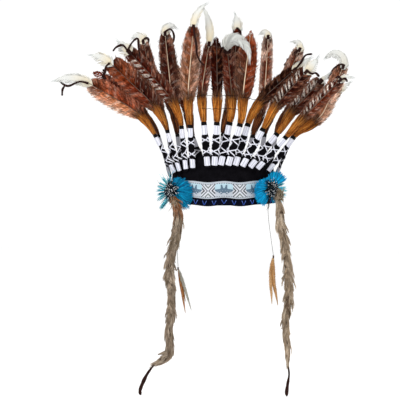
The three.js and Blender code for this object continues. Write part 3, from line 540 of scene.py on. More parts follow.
def strand_material(name, streak, low, high, bump, across=0.4, **surface):
    """Barbs, hair or yarn: each strand's own tint, streaked along its length every streak millimetres."""
    material, tree, shader = begin(name, **surface)
    broad = grained(tree, 0.35 / streak, 3, low, high, (across, 1, 1))
    fine = grained(tree, 1 / streak, 2, 0.86, 1.12, (0.15, 1, 1))
    surfaced(tree, shader, shaded(tree, carried(tree, "tint"), broad, fine), fine, bump)
    return material


def cloth_material(name, thread, low, high, bump, colour=None, **surface):
    """Woven cloth or wound thread of a thread size in millimetres, with a fibre's uneven dye."""
    material, tree, shader = begin(name, **surface)
    base = carried(tree, "tint") if colour is None else dyed(tree, colour)
    place = carried(tree, "place")
    ribs = [add(tree, "TexWave", {"wave_type": "BANDS", "bands_direction": way}, Vector=place,
                Scale=0.314 / thread, Distortion=0.6).outputs["Fac"] for way in "XY"]
    crossed = add(tree, "Math", {"operation": "MULTIPLY"}, i0=ribs[0], i1=ribs[1])
    worn = grained(tree, 0.12, 4, low, high)
    surfaced(tree, shader, shaded(tree, base, worn), crossed.outputs[0], bump, 0.0003)
    return material


def felt_material():
    """Black wool felt, pressed from loose fibres: matt, with paler clouds painted on as its nap's sheen."""
    material, tree, shader = begin("pressed_wool_felt", Roughness=0.96, Specular_IOR_Level=0.01)
    # Paler clouds painted on the black: painted sheen of the nap
    painted_sheen_cloud = grained(tree, 0.09, 5, 0.65, 1.5)
    fibre = grained(tree, 0.9, 4, 0.7, 1.35, (1, 0.5, 1))
    surfaced(tree, shader, shaded(tree, dyed(tree, 0x0C0B0E), painted_sheen_cloud, fibre), fibre, depth=0.0004)
    return material


def spotted_material():
    """Guinea fowl feather: near black, with a round white spot about every 4.4 mm."""
    material, tree, shader = begin("guinea_fowl_feather", Roughness=0.6, Specular_IOR_Level=0.05)
    spots = add(tree, "TexVoronoi", {"feature": "F1"}, Vector=carried(tree, "place"), Scale=1 / 4.4,
                Randomness=0.6)
    spot = add(tree, "MapRange", i0=spots.outputs["Distance"], i1=0.13, i2=0.2, i3=1.0, i4=0.0)
    ground = shaded(tree, carried(tree, "tint"), grained(tree, 1.1, 3, 0.6, 1.4))
    mix = add(tree, "Mix", {"data_type": "RGBA"}, Factor=spot.outputs[0], i6=ground, i7=paint(0xD9DCD8))
    surfaced(tree, shader, mix.outputs[2])
    return material


def leather_material():
    """Dark tanned leather, cut from the hide: a fine pebbled grain, rubbed paler where it bends."""
    material, tree, shader = begin("tanned_leather", Roughness=0.55, Specular_IOR_Level=0.1)
    rubbed = grained(tree, 0.25, 4, 0.6, 1.7)
    pebbles = add(tree, "TexVoronoi", {"feature": "F1"}, Vector=carried(tree, "place"), Scale=1.6)
    surfaced(tree, shader, shaded(tree, dyed(tree, 0x210B07), rubbed), pebbles.outputs["Distance"])
    return material


FELT_CLOTH = felt_material()
# Cotton twill binding, folded over the rim: a dull navy black with a 0.8 mm cord.
HEM_CLOTH = cloth_material("cotton_twill", 0.8, 0.7, 1.4, 0.6, colour=0x070916, Roughness=0.9,
                            Specular_IOR_Level=0.03)
# Jacquard ribbon, woven from satin polyester: each cell of its chart is one float of thread.
WOVEN_BAND = cloth_material("jacquard_ribbon", 0.5, 0.92, 1.06, 0.5, Roughness=0.55,
                            Specular_IOR_Level=0.3)
# White cotton tape wound tightly: matt, with thin grey lines between the turns.
WHITE_TAPE = cloth_material("wound_cotton_tape", 0.7, 0.93, 1.04, 0.4, Roughness=0.8,
                            Specular_IOR_Level=0.2)
# Soft spun yarn, laced by hand: matt and slightly fuzzy, streaked by its twist.
YARN = strand_material("spun_yarn", 0.8, 0.85, 1.1, 0.5, Roughness=0.85, Specular_IOR_Level=0.15)
# Turkey feather: barbs hooked into a vane, satin, with a faint sheen and a brown that varies barb by barb.
VANE = strand_material("turkey_vane", 0.9, 0.22, 1.74, 0.5, across=1.3, Roughness=0.6,
                       Specular_IOR_Level=0.02)
# Bleached feather, smooth and close barbed: cream at its root and cool white at its tip.
PLUME = strand_material("bleached_plume", 1.2, 0.9, 1.06, 0.3, Roughness=0.6, Specular_IOR_Level=0.2)
# The shaft of a feather, hollow horn: pale, smooth and slightly glossy.
SHAFT = strand_material("feather_shaft", 2.5, 0.9, 1.08, 0.2, Roughness=0.35)
# Rooster hackle, loose webbed and dyed ginger: long fine barbs with a silky gloss.
HACKLE = strand_material("ginger_hackle", 1.2, 0.6, 1.3, 0.4, Roughness=0.5, Specular_IOR_Level=0.08)
# Dyed turquoise hackle: brighter where the barbs lie close, and painted darker at their roots as painted
# shade.
TURQUOISE = strand_material("dyed_turquoise_hackle", 1.4, 0.86, 1.14, 0.4, Roughness=0.6,
                            Specular_IOR_Level=0.05)
# Fur, tanned on the skin: soft guard hairs, tan at the tip and painted darker towards the root as painted
# shade.
FUR = strand_material("soft_fur", 2.2, 0.8, 1.2, 0.4, Roughness=0.7, Specular_IOR_Level=0.08)
SPOTTED = spotted_material()
LEATHER = leather_material()
# Waxed polyester thread, spun from two plies.
THREAD_FINISH = strand_material("waxed_thread", 0.6, 0.85, 1.1, 0.4, Roughness=0.6, Specular_IOR_Level=0.06)


def tints(rng, colours, n, spread=0.12):
    """A tint for each of n strands: one of the colours, each a little darker or lighter."""
    chosen = np.array([linear(colour) for colour in colours])[rng.integers(0, len(colours), n)]
    return chosen * (1 + spread * rng.standard_normal((n, 1))).clip(0.5, 1.6)


def mixed(a, b, share):
    """From one linear colour to another, by shares (n, k)."""
    return a + (b - a) * np.clip(share, 0, 1)[..., None]


# Cords first: each bundle of hackles hangs on a thread from under its rosette's hub.


def rosette_frame(side):
    """The middle of a rosette on the brow band, the way it faces and its own right."""
    turn, height, sign, _, _ = ROSETTES[side]
    ahead = np.array([math.sin(ROSETTE_FACING * sign), -math.cos(ROSETTE_FACING * sign), 0])
    rightward = np.array([math.cos(ROSETTE_FACING * sign), math.sin(ROSETTE_FACING * sign), 0])
    return beside_felt(math.radians(turn), height, GAP + BAND_THICK), ahead, rightward


def hanging_thread(side):
    """The thread, of two plies twisted round each other, and the points of its route."""
    middle, ahead, _ = rosette_frame(side)
    behind = STRIP_LAYER + STRIP_THICK / 2 + GAP + THREAD / 2
    top = middle + ahead * (ROSETTE_STANDOFF - behind) - [0, 0, HUB_RADIUS + GAP]
    route = smooth_line(np.array(THREAD_ROUTES[side]) + top, 160)
    length = distance(route)[-1]
    along = np.linspace(0, length, len(route))[:, None]
    turn = np.linspace(0, 2 * math.pi, 10, endpoint=False)[None]
    lobes = THREAD / 2 * (1 - 0.14 * (1 - np.cos(2 * (turn - along * 2 * math.pi / TWIST))))
    rings = route[:, None] + np.stack([lobes * np.cos(turn), -lobes * np.sin(turn), lobes * 0], -1)
    made = Made()
    made.loft(rings, 0, linear(0x6E6C6A), laid(turn, along))
    cord = made.piece("hanging_thread_" + side, [THREAD_FINISH], "drop_thread_" + side, "thread")
    return cord, route, length


def hanging_drop(side):
    rng = seeded(11, side)
    cord, route, length = hanging_thread(side)
    foot = route[-1] - [0, 0, GAP]
    bundle = Made()
    for lean, forward, long, colour in DROP_HACKLES[side]:
        lean, forward = math.radians(lean), math.radians(forward)
        down = unit(np.array([math.sin(lean), -math.sin(forward), -math.cos(lean) * math.cos(forward)]))
        aside = unit(np.cross(down, [0, -1, 0]))
        reach = long * DROP_LENGTH
        bend = lambda share: 3.5 * share**2 * math.sin(lean) + 2.4 * np.sin(4 * share) * (side == "right")
        n = 74
        for sign in (-1, 1):
            end = np.linspace(0.1, 1, n)[:, None] * reach
            half = DROP_WIDTH / 2 * np.interp(end / reach, [0.03, 0.32, 0.72, 1], [0.3, 1, 0.62, 0.1])
            half = half * DROP_FULLER[side] * (1 + 0.1 * rng.standard_normal((n, 1)))
            root = np.maximum(end - 9, 3)
            u = np.array([0, 0.35, 0.7, 1])[None]
            at = root + (end - root) * u
            out = half * u**0.8
            paths = (foot + down * at[..., None] + aside * (sign * out + bend(at / reach))[..., None]
                     - np.array([0, 0.4, 0]) * out[..., None] / 3)
            bundle.rods(paths, [0.7, 0.7, 0.55, 0.15], 0.35, (0, -1, 0), 0, tints(rng, [colour], n, 0.16),
                        laid(out, at, end))
        at = np.linspace(0, 0.96, 14)
        horn = linear(0xA7A498 if colour == 0x9C988C else 0xC9A878)
        rib = foot + np.outer(at * reach, down) + np.outer(bend(at), aside) + [0, -0.2, 0]
        bundle.rods(rib[None], np.linspace(1.0, 0.35, 14), np.linspace(0.9, 0.3, 14), (0, -1, 0), 1, horn,
                    laid(0, at * reach)[None], 6)
    # Thread wound round the tops of the hackles
    at = np.linspace(0, KNOT_LENGTH, 6 * KNOT_TURNS + 1)
    swell = KNOT_WIDTH + 0.3 * np.sin(at * 2 * math.pi * KNOT_TURNS / KNOT_LENGTH)
    bundle.rods((foot - np.outer(at, [0, 0, 1]))[None], swell, swell, (0, -1, 0), 2, linear(0x4A3324),
                laid(0, at)[None], 12)
    bundle.piece("hackle_bundle_" + side, [HACKLE, SHAFT, THREAD_FINISH], "feather_drop_" + side, "hackle")


for side in ("left", "right"):
    hanging_drop(side)

# Felt crown, hem and brow band


WHOLE_GIRTH = np.ptp(girth_at(np.array([-math.pi, math.pi])))


def wall(made, steps, profile, ripple):
    """A wall round the head through a profile of (height, out) pairs, which changes with the turn."""
    rings, places = [], []
    turns = np.linspace(-math.pi, math.pi, steps, endpoint=False)
    for turn, girth in zip(turns, girth_at(turns)):
        heights, outs = np.array(profile(turn)).T
        outs = outs + ripple(girth, heights)
        rings.append(beside_felt(turn, heights, outs))
        places.append(laid(girth, heights, outs))
    made.loft(np.array(rings), 0, BLACK, np.array(places), loop=True)


def rounded(low, high, inner, outer, steps, edge):
    """A closed profile from low to high between an inner and an outer face, with rounded edges."""
    heights = np.linspace(low + edge, high - edge, steps)
    middle, reach = (inner + outer) / 2, (outer - inner) / 2
    bend = np.radians([30, 60, 90, 120, 150])
    top = [(high - edge + edge * math.sin(b), middle - reach * math.cos(b)) for b in bend]
    foot = [(low + edge - edge * math.sin(b), middle + reach * math.cos(b)) for b in bend]
    return [(h, inner) for h in heights] + top + [(h, outer) for h in heights[::-1]] + foot


def felt_crown():
    made = Made()
    nap = lambda girth, h: -0.12 - 0.12 * np.sin(girth / 9.1 + np.sin(h / 7)) * np.sin(h / 8.3 + girth / 31)
    uneven = lambda turn: 0.5 * math.sin(7.3 * turn) + 0.35 * math.sin(17.1 * turn + 1)
    wall(made, 240, lambda turn: rounded(rim_height(turn) + GAP, crown_height(turn) - 0.6 + uneven(turn),
                                         -FELT + 0.25, 0, 14, 0.9), nap)
    crown = made.piece("pressed_felt_crown", [FELT_CLOTH], "felt_crown", "felt")


def hem_binding():
    made = Made()
    pucker = lambda girth, h: 0.22 * np.cos(girth * 2 * math.pi / STITCH_PITCH) * np.sin(h / 3.6) - 0.2
    wall(made, 300, lambda turn: rounded(rim_height(turn), rim_height(turn) + HEM_HEIGHT, GAP + 0.2,
                                         GAP + HEM_THICK, 7, 1.0), pucker)
    # A row of blue Vs of yarn, each stroke a little uneven
    rng = np.random.default_rng(21)
    count = round(WHOLE_GIRTH / STITCH_PITCH)
    for i in range(count):
        middle = (i - count // 2) * WHOLE_GIRTH / count
        for sign in (-1, 1):
            u = np.linspace(0, 1, 6)
            lean, foot, top = 2.7 + 0.9 * rng.random(), 1.7 + 0.7 * rng.random(), 7.9 + 1.2 * rng.random()
            turn = turn_at(middle + sign * (0.2 + lean * u))
            lift = GAP + HEM_THICK + 0.15 + 0.35 * np.sin(np.pi * u)
            path = beside_felt(turn, rim_height(turn) + foot + (top - foot) * u, lift)
            blue = mixed(linear(0x1F3F93), linear(0x6E8AC4), u[None] ** 2 * (0.4 + 0.6 * rng.random()))
            made.rods(path[None], 1.15, 0.8, felt_normal(turn)[None], 1, blue, laid(0, u * 9, i)[None], 6)
    hem = made.piece("hem_binding", [HEM_CLOTH, YARN], "hem_band", "hem_cloth")


# Half of a bird with spread wings, from its middle out, one letter to a float of thread: # slate, the rest
# is its ground. Nested chevrons fill the way to a cross half way between two birds.
BIRD = [
    "....##...........",
    "...###...........",
    "...###...........",
    "..+###...........",
    "..####...........",
    "+.####...........",
    "######+..........",
    "#################",
    "################.",
    "###+###+###+###..",
    "##+###+###+###...",
    "#########+##.....",
    "#####.####.......",
    "####...##........",
    "...###...........",
    "....###..........",
]
BAND_ROWS, BAND_CELL, BAND_REPEAT, BIRD_TOP = 28, 0.946, 27, 6


def chart_colour(column, row):
    """The colour of one cell of the brow band's chart."""
    cream, slate, grey, pale, dark = 0xB4BBC4, 0x546C80, 0x8496A4, 0xB0CBD6, 0x3E444C
    middle, border, cross = BAND_ROWS // 2, 3, 13
    if row in (border, BAND_ROWS - border):
        return dark if column % 4 < 2 else cream
    if row <= border or row >= BAND_ROWS - border:
        return cream
    out = abs((column + BAND_REPEAT) % (2 * BAND_REPEAT) - BAND_REPEAT)
    floats = BIRD[row - BIRD_TOP] if 0 <= row - BIRD_TOP < len(BIRD) else ""
    if out < len(floats) and floats[out] != ".":
        return slate if floats[out] == "#" else grey
    aside, rise = BAND_REPEAT - out, abs(row - middle)
    if out < 16 and row < middle and aside > rise + 3:
        return pale
    if aside < cross and aside != rise:
        nested = (aside - rise if aside > rise else rise - aside + 2) % 6
        return (0x343A43 if aside > rise else 0x6C7677) if nested < 3 else 0xD4D6DC
    return cream


def brow_band():
    made = Made()
    ends = girth_at(np.array([-BAND_REACH, BAND_REACH]))
    count = int(round(np.ptp(ends) / BAND_CELL))
    turns = turn_at(np.linspace(ends[0], ends[1], count + 1))
    low = HEM_HEIGHT + GAP
    heights = np.linspace(BAND_HEIGHT, 0, BAND_ROWS + 1)
    outer = GAP + BAND_THICK
    turn_mid = (turns[:-1] + turns[1:]) / 2
    height_mid = (heights[:-1] + heights[1:]) / 2
    # Corners of the floats, their raised middles and the back
    layers = [(turns, heights, outer - 0.25), (turn_mid, height_mid, outer), (turns, heights, GAP + 0.05)]
    points = [beside_felt(t[:, None], rim_height(t)[:, None] + low + h[None], out).reshape(-1, 3)
              for t, h, out in layers]
    flat = [laid(girth_at(t)[:, None], h[None]).reshape(-1, 3) for t, h, _ in layers]
    tall, wide = BAND_ROWS + 1, count + 1
    index = lambda c, r: c * tall + r
    domed = lambda c, r: wide * tall + c * BAND_ROWS + r
    behind = lambda c, r: wide * tall + count * BAND_ROWS + c * tall + r
    faces, colours = [], []
    for c in range(count):
        for r in range(BAND_ROWS):
            ring = [index(c, r), index(c, r + 1), index(c + 1, r + 1), index(c + 1, r)]
            faces += [(ring[i], ring[(i + 1) % 4], domed(c, r)) for i in range(4)]
            colours += [chart_colour(c - count // 2, r)] * 4
            faces += [(behind(c, r), behind(c + 1, r + 1), behind(c, r + 1)),
                      (behind(c, r), behind(c + 1, r), behind(c + 1, r + 1))]
            colours += [0xC3C6C4] * 2
    edge = [(c, 0) for c in range(count)] + [(count, r) for r in range(BAND_ROWS)]
    edge += [(c, BAND_ROWS) for c in range(count, 0, -1)] + [(0, r) for r in range(BAND_ROWS, 0, -1)]
    for i, at in enumerate(edge):
        on = edge[(i + 1) % len(edge)]
        faces += [(index(*on), index(*at), behind(*at)), (index(*on), behind(*at), behind(*on))]
        colours += [0xD8DCDC] * 2
    made.add(np.concatenate(points), [np.array(faces)], 0, BLACK, np.concatenate(flat))
    band = made.piece("woven_brow_band", [WOVEN_BAND], "brow_band", "woven_band", smooth=False)
    band.data.attributes.remove(band.data.attributes["tint"])
    tint = band.data.attributes.new("tint", "FLOAT_COLOR", "CORNER")
    known = {colour: paint(colour) for colour in set(colours)}
    corners = np.repeat([known[colour] for colour in colours], 3, axis=0)
    tint.data.foreach_set("color", corners.astype(np.float32).ravel())


hem_binding()
felt_crown()
brow_band()

# Sleeves


def round_quill(quill, along, angle, wide, thick):
    """Points on a flat oval round a quill, at angles from its front, and the way out from it there."""
    _, across, through = quill.at(along)
    normal = unit(across * (np.sin(angle) / wide)[..., None] + through * (np.cos(angle) / thick)[..., None])
    return quill.beside(along, wide / 2 * np.sin(angle), thick / 2 * np.cos(angle))[0], normal


def wound(made, quill, start, end, turns, wide, thick, swell, finish, tint):
    """Thread or tape wound round a quill, each turn a soft ridge."""
    along = np.linspace(start, end, turns * 3 + 1)
    place, _, through = quill.at(along)
    ridge = swell * (1 - np.abs(np.cos(np.pi * np.linspace(0, turns, len(along)))))
    ends = np.where((along == along[0]) | (along == along[-1]), -0.5, 0)
    made.rods(place[None], wide + ridge + ends, thick + ridge + ends, through[None], finish, tint,
              laid(0, along)[None], 14)


def puffed(along):
    """How much wider the cloth is at a place along a sleeve, where it puffs out between the two tapes."""
    low, high = LOW_TAPE[1] - 0.03, HIGH_TAPE[0] + 0.03
    return 1 + 0.3 * np.sin(np.pi * ((along / SLEEVE_LENGTH - low) / (high - low)).clip(0, 1)) ** 0.7


def sleeve(tag, quill, rng):
    made = Made()
    cloth = (SLEEVE_WIDTH + 0.2, SLEEVE_THICK - 2 * TAPE_THICK)
    top = SLEEVE_LENGTH
    along = np.concatenate([[0.15, 0.5, 1.2], np.linspace(2.4, top - 2, 26), [top - 1, top - 0.4, top - 0.1]])
    place, _, through = quill.at(along)
    rounding = [0.15, 0.5, 1.2, top - 1.5, top - 0.4, top - 0.1]
    shrink = np.interp(along, rounding, [0.6, 0.85, 1, 1, 0.85, 0.6])
    shrink = shrink * (1 - 0.025 * np.abs(np.sin(along / 5.3 + rng.random() * 6)))
    made.rods(place[None], cloth[0] * shrink * puffed(along), cloth[1] * shrink, through[None], 0, BLACK,
              laid(rng.random() * 90, along)[None], 16)
    white = linear(0xE0E1EC) * (0.94 + 0.06 * rng.random())
    # Behind the crown the white tape and yarn are painted darker: painted shade
    if tag.startswith("back"):
        white = white * 0.42
    for start, end in (LOW_TAPE, HIGH_TAPE):
        wound(made, quill, start * SLEEVE_LENGTH, end * SLEEVE_LENGTH, TAPE_TURNS, SLEEVE_WIDTH + 0.2,
              SLEEVE_THICK, 0.3, 1, white)
        for angle in (-0.5, 0.35):
            along = np.linspace(start * SLEEVE_LENGTH + 0.6, end * SLEEVE_LENGTH - 0.6, 16)
            path, normal = round_quill(quill, along, np.full(16, angle + 0.08 * rng.standard_normal()),
                                       SLEEVE_WIDTH + 0.5, SLEEVE_THICK + 0.35)
            made.rods(path[None], 0.5, 0.3, normal[None], 2, linear(0x8E909C), BLACK, 5)
    wound(made, quill, 0.93 * SLEEVE_LENGTH, 0.985 * SLEEVE_LENGTH, BINDING_TURNS, SLEEVE_WIDTH - 0.4,
          SLEEVE_THICK - 0.3, 0.4, 3, linear(0x0B0A0B))
    # Two white yarns laced round the cloth in opposite ways, which cross twice at the front
    low, high = LOW_TAPE[1] * SLEEVE_LENGTH - 1, HIGH_TAPE[0] * SLEEVE_LENGTH + 1
    t = np.linspace(0, 1, 43)
    start = math.pi + 0.5 * rng.standard_normal()
    for hand in (-1, 1):
        angle = start + hand * 4 * math.pi * t
        along = low + (high - low) * t
        path, normal = round_quill(quill, along, angle, cloth[0] * puffed(along) + 0.8,
                                   cloth[1] + 0.5 + 0.3 * hand)
        made.rods(path[None], 1.9, 0.8, normal[None], 2, white, laid(0, t * 80, hand)[None], 5)
    made.piece("sewn_sleeve_" + tag, [FELT_CLOTH, WHITE_TAPE, YARN, THREAD_FINISH], "sleeve_" + tag,
               "sleeve_cloth")


def lacing(quills):
    """White yarn that zigzags from each front sleeve to the next, low on the cloth."""
    made = Made()
    heights, widest_gap, aside = (21, 31, 41, 50), 17, 0.85
    for first, second in zip(quills[:-1], quills[1:]):
        stops = []
        for i, along in enumerate(np.array(heights)[:, None]):
            quill, angle = (first, -aside) if i % 2 else (second, aside)
            stops.append(round_quill(quill, along, np.array([angle]), SLEEVE_WIDTH * puffed(along),
                                     SLEEVE_THICK + 0.6)[0][0])
        if np.linalg.norm(stops[0] - stops[1]) > widest_gap:
            continue
        for a, b in zip(stops[:-1], stops[1:]):
            t = np.linspace(0, 1, 7)
            path = a + np.outer(t, b - a) - np.outer(np.sin(np.pi * t), [0, 0, 0.5])
            made.rods(path[None], 1.7, 0.8, (0, -1, 0), 0, linear(0xE4E5EE), laid(0, t * 15)[None], 5)
    made.piece("lacing_between_sleeves", [YARN], None, "sleeve_cloth")


# Feathers


def apart(n, step):
    """Places through the material for n strands, so that no two are grained alike."""
    return np.arange(n)[:, None] * step


def hung(points, share, sag):
    """Points of a plume, given how far along it they are, when its tip sags forwards and down."""
    return points - sag * np.stack([-0.1 * share**2, share, 0.9 * share**2], -1)


def barbs(made, quill, start, end, half, sign, spacing, blade, slant, rng, tint_of, finish, splits, ragged,
          scallop=0.0, fine=0.3, droop=0.0, sag=0.0):
    """One side of a vane: barbs that leave the shaft slanting to the tip, each a thin ridged blade."""
    n = int((end - start) / spacing)
    tip = np.linspace(start, end, n) + 0.2 * spacing * rng.standard_normal(n)
    share = (tip - start) / (end - start)
    reach = half(share) * (1 + ragged * rng.standard_normal(n) - 0.25 * (rng.random(n) < 0.03))
    root = np.maximum(tip - slant * reach, start - 6)
    u = np.array([0, 0.3, 0.6, 0.84, 1])[None]
    along = root[:, None] + (tip - root)[:, None] * (0.72 * u + 0.28 * u**2)
    for _ in range(splits):
        at = start + (end - start) * rng.uniform(0.2, 0.88)
        away = tip - at
        opened = rng.uniform(0.5, 1.7) * np.exp(-np.abs(away) / 6) * np.sign(away)
        along = along + opened[:, None] * u**3
    # Barbs that cling together at their ends give the edge its scallops
    clump = 5.5 + 1.5 * np.sin(tip / 19 + rng.random() * 6)
    drift = ((tip / clump) % 1 - 0.5) * clump
    along = along - scallop * 0.6 * drift[:, None] * u**3
    reach = reach * (1 - scallop * 0.2 * np.abs(drift) / 3)
    out = reach[:, None] * u
    height = 0.2 - VANE_CAMBER * reach[:, None] * u**2 + 0.2 * np.sin(tip / 3.1)[:, None] * u**2
    paths, through = quill.beside(along, sign * out, height)
    paths[..., 2] -= droop * u**2
    paths = hung(paths, share[:, None], sag)
    tint = tint_of(share[:, None], u) * (1 + 0.07 * rng.standard_normal((n, 1, 1))).clip(0.7, 1.4)
    made.rods(paths, blade * np.array([1, 0.97, 0.9, 0.8, fine]), 0.45, through, finish, tint,
              laid(out, tip[:, None], sign * FAR_APART))


def web(made, quill, start, end, half, sign, slant, rng, tint_of):
    """One side of a vane as the close sheet of its locked barbs, which the single barbs lie on."""
    at = np.linspace(start, end, WEB_COLUMNS)
    share = (at - start) / (end + 3 - start)
    u = np.array([0, 0.15, 0.32, 0.5, 0.66, 0.82, 0.95])
    reach = half(share)[:, None] * np.interp(share, [0, 0.03, 0.98, 1], [0.6, 1, 1, 0.7])[:, None]
    nicks = 1 - 0.1 * rng.random((len(at), 1)) * (u > 0.9) - 0.04 * rng.random((len(at), 1)) * (u > 0.8)
    out = reach * u * nicks
    # Each point of the sheet takes the colour of the barb that passes it
    passing = share[:, None] + slant * reach * (1 - 0.72 * u - 0.28 * u**2) / (end - start)
    tint = tint_of(passing.clip(0, 1), u[None])
    front, through = quill.beside(at[:, None] + 0 * u, sign * out, -0.1 - VANE_CAMBER * reach * u**2)
    back = front - through * np.interp(u, [0, 1], [0.5, 0.25])[:, None]
    places = laid(out, start + passing * (end - start), sign * FAR_APART)
    both = lambda a, b: np.concatenate([a, b[:, ::-1]], 1)
    made.loft(both(front, back), 0, both(tint, tint).reshape(-1, 3), both(places, places))


def fuzz(made, quill, start, end, half, sign, rng, tint_of):
    """Fine loose down on a vane's face and past its edge, at odd angles to the barbs."""
    n, t = 44, span(4)
    first = rng.uniform(start, end - 8, n)[:, None]
    along = first + rng.uniform(3, 10, n)[:, None] * t
    share = (first - start) / (end - start)
    u = rng.random((n, 1)) ** 0.6
    out = half(share) * 0.95 * u + rng.uniform(-1, 3, (n, 1)) * t
    paths, through = quill.beside(along, sign * out, 0.6 + rng.uniform(0, 1.2, (n, 1)) * t)
    tint = tint_of(share, u) * rng.choice([0.45, 0.75, 1.3, 1.9], (n, 1, 1)) * np.ones((1, 4, 1))
    made.rods(paths, [0.35, 0.55, 0.45, 0.1], 0.3, through, 0, tint.clip(0, 1),
              laid(out, along, apart(n, 2)))


def vane_tint(look, sign, rng):
    """The colour of each barb from root to end: a half's own brown, paler edges, bars and a darker tip."""
    left, right, tip, bars, pale, white = look[:6]
    pale = pale[sign < 0] if isinstance(pale, tuple) else pale
    deeper = np.array([0.92, 0.6, 0.43])
    ground, tip_colour = linear(left if sign > 0 else right) * deeper, linear(tip) * deeper
    edge = mixed(linear(0xB87048), linear(0xEACFBC), pale)
    base, bar = linear(0x4E2E20), linear(0xE6DACE)
    phase, period = rng.random(), 0.085 + 0.012 * rng.random()
    waves = [(rng.uniform(6, 60), rng.uniform(-9, 9), rng.uniform(0, 6.3)) for _ in range(7)]

    def tint_of(share, u):
        n = len(share)
        share, u = np.broadcast_arrays(share, u)
        shade = mixed(np.broadcast_to(ground, (n, u.shape[1], 3)), tip_colour, (share - 0.6) * 2.2)
        shade = mixed(shade, base, 0.6 - share * 7)
        if white:
            shade = mixed(shade, linear(0x2E0E07), (share - 0.84) * 5.5)
        patches = sum(np.sin(a * share + b * u + c) for a, b, c in waves) / 3
        shade = shade * (1 + 0.42 * patches).clip(0.25, 2)[..., None]
        shade = mixed(shade, edge, pale * 0.7 * u**2.2 + (0.22 + 0.4 * pale) * (patches > 0.6))
        # The bars cross the shaft nearly square, the barbs lie aslant
        level = share - (0.045 if bars else 0.085) * (1 - u) + 0.01 * np.sin(5 * u + 40 * share)
        wave = np.abs((level / period + phase) % 1 - 0.5) * 2
        if bars and (sign > 0 or bars > 1):
            shade = mixed(shade, bar, 0.95 * (wave > 0.68) * (u > 0.08) * (u < 0.74) * (share < 0.93))
        else:
            shade = shade * (1 - 0.32 * (wave > 0.5)[..., None])
            shade = mixed(shade, bar, (0.08 + 0.3 * pale) * (wave > 0.85) * (u > 0.15) * (patches > -0.1))
        return shade

    return tint_of


PLUME_WHITE, PLUME_CREAM = linear(0xD6D7D3), linear(0xDFCB9C)


def plume_tint(white, tip, creamy, rng):
    """White plumes with one cream patch; brown tips keep the feather's own colour."""
    plain, cream = (PLUME_WHITE, PLUME_CREAM) if white else (linear(tip), linear(tip))
    patch = rng.uniform(0.1, 0.6)

    def tint_of(share, u):
        share, u = np.broadcast_arrays(share, u)
        warm = creamy * np.exp(-((share - patch) / 0.24) ** 2) * (1 - 0.6 * u)
        shade = mixed(np.broadcast_to(plain, (*share.shape, 3)), cream, warm)
        return shade * (1 - 0.3 * (rng.random((len(share), 1, 1)) < 0.16) * u[..., None] ** 0.5)

    return tint_of


def tie(made, quill, tag, rng):
    """Leather wound round the foot of the plume, with its loose ends."""
    at = quill.vane_end
    wide, long = TIES.get(tag, USUAL_TIE)
    if tag in ("front_4", "back_5"):
        # Here the vane's own dark barbs are bound down under the leather
        wound(made, quill, at - long, at - 1, 5, wide, 3.4, 1.6, 0, linear(0x4A1A0E))
        wide, long = 4.6, 3
    if tag not in ("front_1", "front_2"):
        wound(made, quill, at - long, at + 2.4, max(3, round(long / 3)), wide, 3.6, 1.5, 3, BLACK)
    place, _, through = quill.at(np.array(at + 0.5))
    for route in LOOSE_ENDS.get(tag, []):
        points = [place + [x, 0, z] + through * (3 + 0.8 * math.sin(i)) for i, (x, z) in enumerate(route)]
        line = smooth_line(points, 5 * len(points))
        t = np.linspace(0, 1, len(line))
        wide_at = 3.9 + 0.7 * np.sin(9 * t + rng.random() * 6)
        wide_at[-1] = 1
        made.rods(line[None], wide_at, 0.9, through, 3, BLACK, laid(0, t * 40)[None], 6)


def feather(tag, quill, rng):
    made = Made()
    look = FEATHER_LOOKS[tag]
    tip, white, pale_shaft, blunt, scallops = look[2], *look[5:]
    start, end = quill.fluff_end - 3, quill.vane_end + 2
    for sign in (1, -1):
        # In the part, the left of a section lies on the side away from the across direction
        shares = np.array(VANE_RIGHT if sign > 0 else VANE_LEFT)
        shares = shares + (np.array(VANE_BLUNT) - shares) * blunt
        broad = BROADER.get(tag, USUAL_BROADER)[sign < 0]
        half = lambda share, s=shares * broad: quill.wide * np.interp(share, VANE_AT, s)
        scallop = scallops * (0.45 if sign > 0 and scallops == 1 else 1)
        tint_of = vane_tint(look, sign, rng)
        web(made, quill, start, end - 3, half, sign, VANE_SLANT, rng, tint_of)
        barbs(made, quill, start, end, half, sign, BARB_SPACING, 1.25, VANE_SLANT, rng, tint_of, 0,
              splits=2 if white else 4, ragged=0.07, scallop=scallop)
        fuzz(made, quill, start, end, half, sign, rng, tint_of)
    fuller, droop, sag, creamy = PLUME_HANG.get(tag, USUAL_HANG)
    for sign, shares in ((1, PLUME_RIGHT), (-1, PLUME_LEFT)):
        half = lambda share, s=shares: 1.12 * fuller * max(quill.plume, 3) * np.interp(share, PLUME_AT, s)
        barbs(made, quill, quill.vane_end - 1, quill.end, half, sign, PLUME_SPACING, 1.5, PLUME_SLANT, rng,
              plume_tint(white, tip, creamy, rng), 1 if white else 0, splits=2, ragged=0.1, fine=0.35,
              droop=droop, sag=sag)
    if white:
        # A close web under the barbs, so that the plume doesn't show the light
        at = np.linspace(quill.vane_end, quill.end - 3, 14)
        share = (at - quill.vane_end) / (quill.end - quill.vane_end)
        place, _, through = quill.at(at)
        body = 1.7 * fuller * quill.plume * np.interp(share, PLUME_AT, [0.6, 0.95, 0.9, 0.5, 0.1])
        tint = mixed(PLUME_CREAM, PLUME_WHITE, 1 - creamy * (1 - 1.6 * share[None]))
        made.rods(hung(place, share, sag)[None], body, 1.1, through[None], 1, tint, sides=8)
        wisps(made, quill, quill.end, sag, rng)
    shaft(made, quill, white, pale_shaft)
    fluff(made, quill, rng, tag.startswith("back"))
    if white or tag in LOOSE_ENDS:
        tie(made, quill, tag, rng)
    made.piece("barbed_feather_" + tag, [VANE, PLUME, SHAFT, LEATHER, HACKLE], "feather_" + tag, "feather")


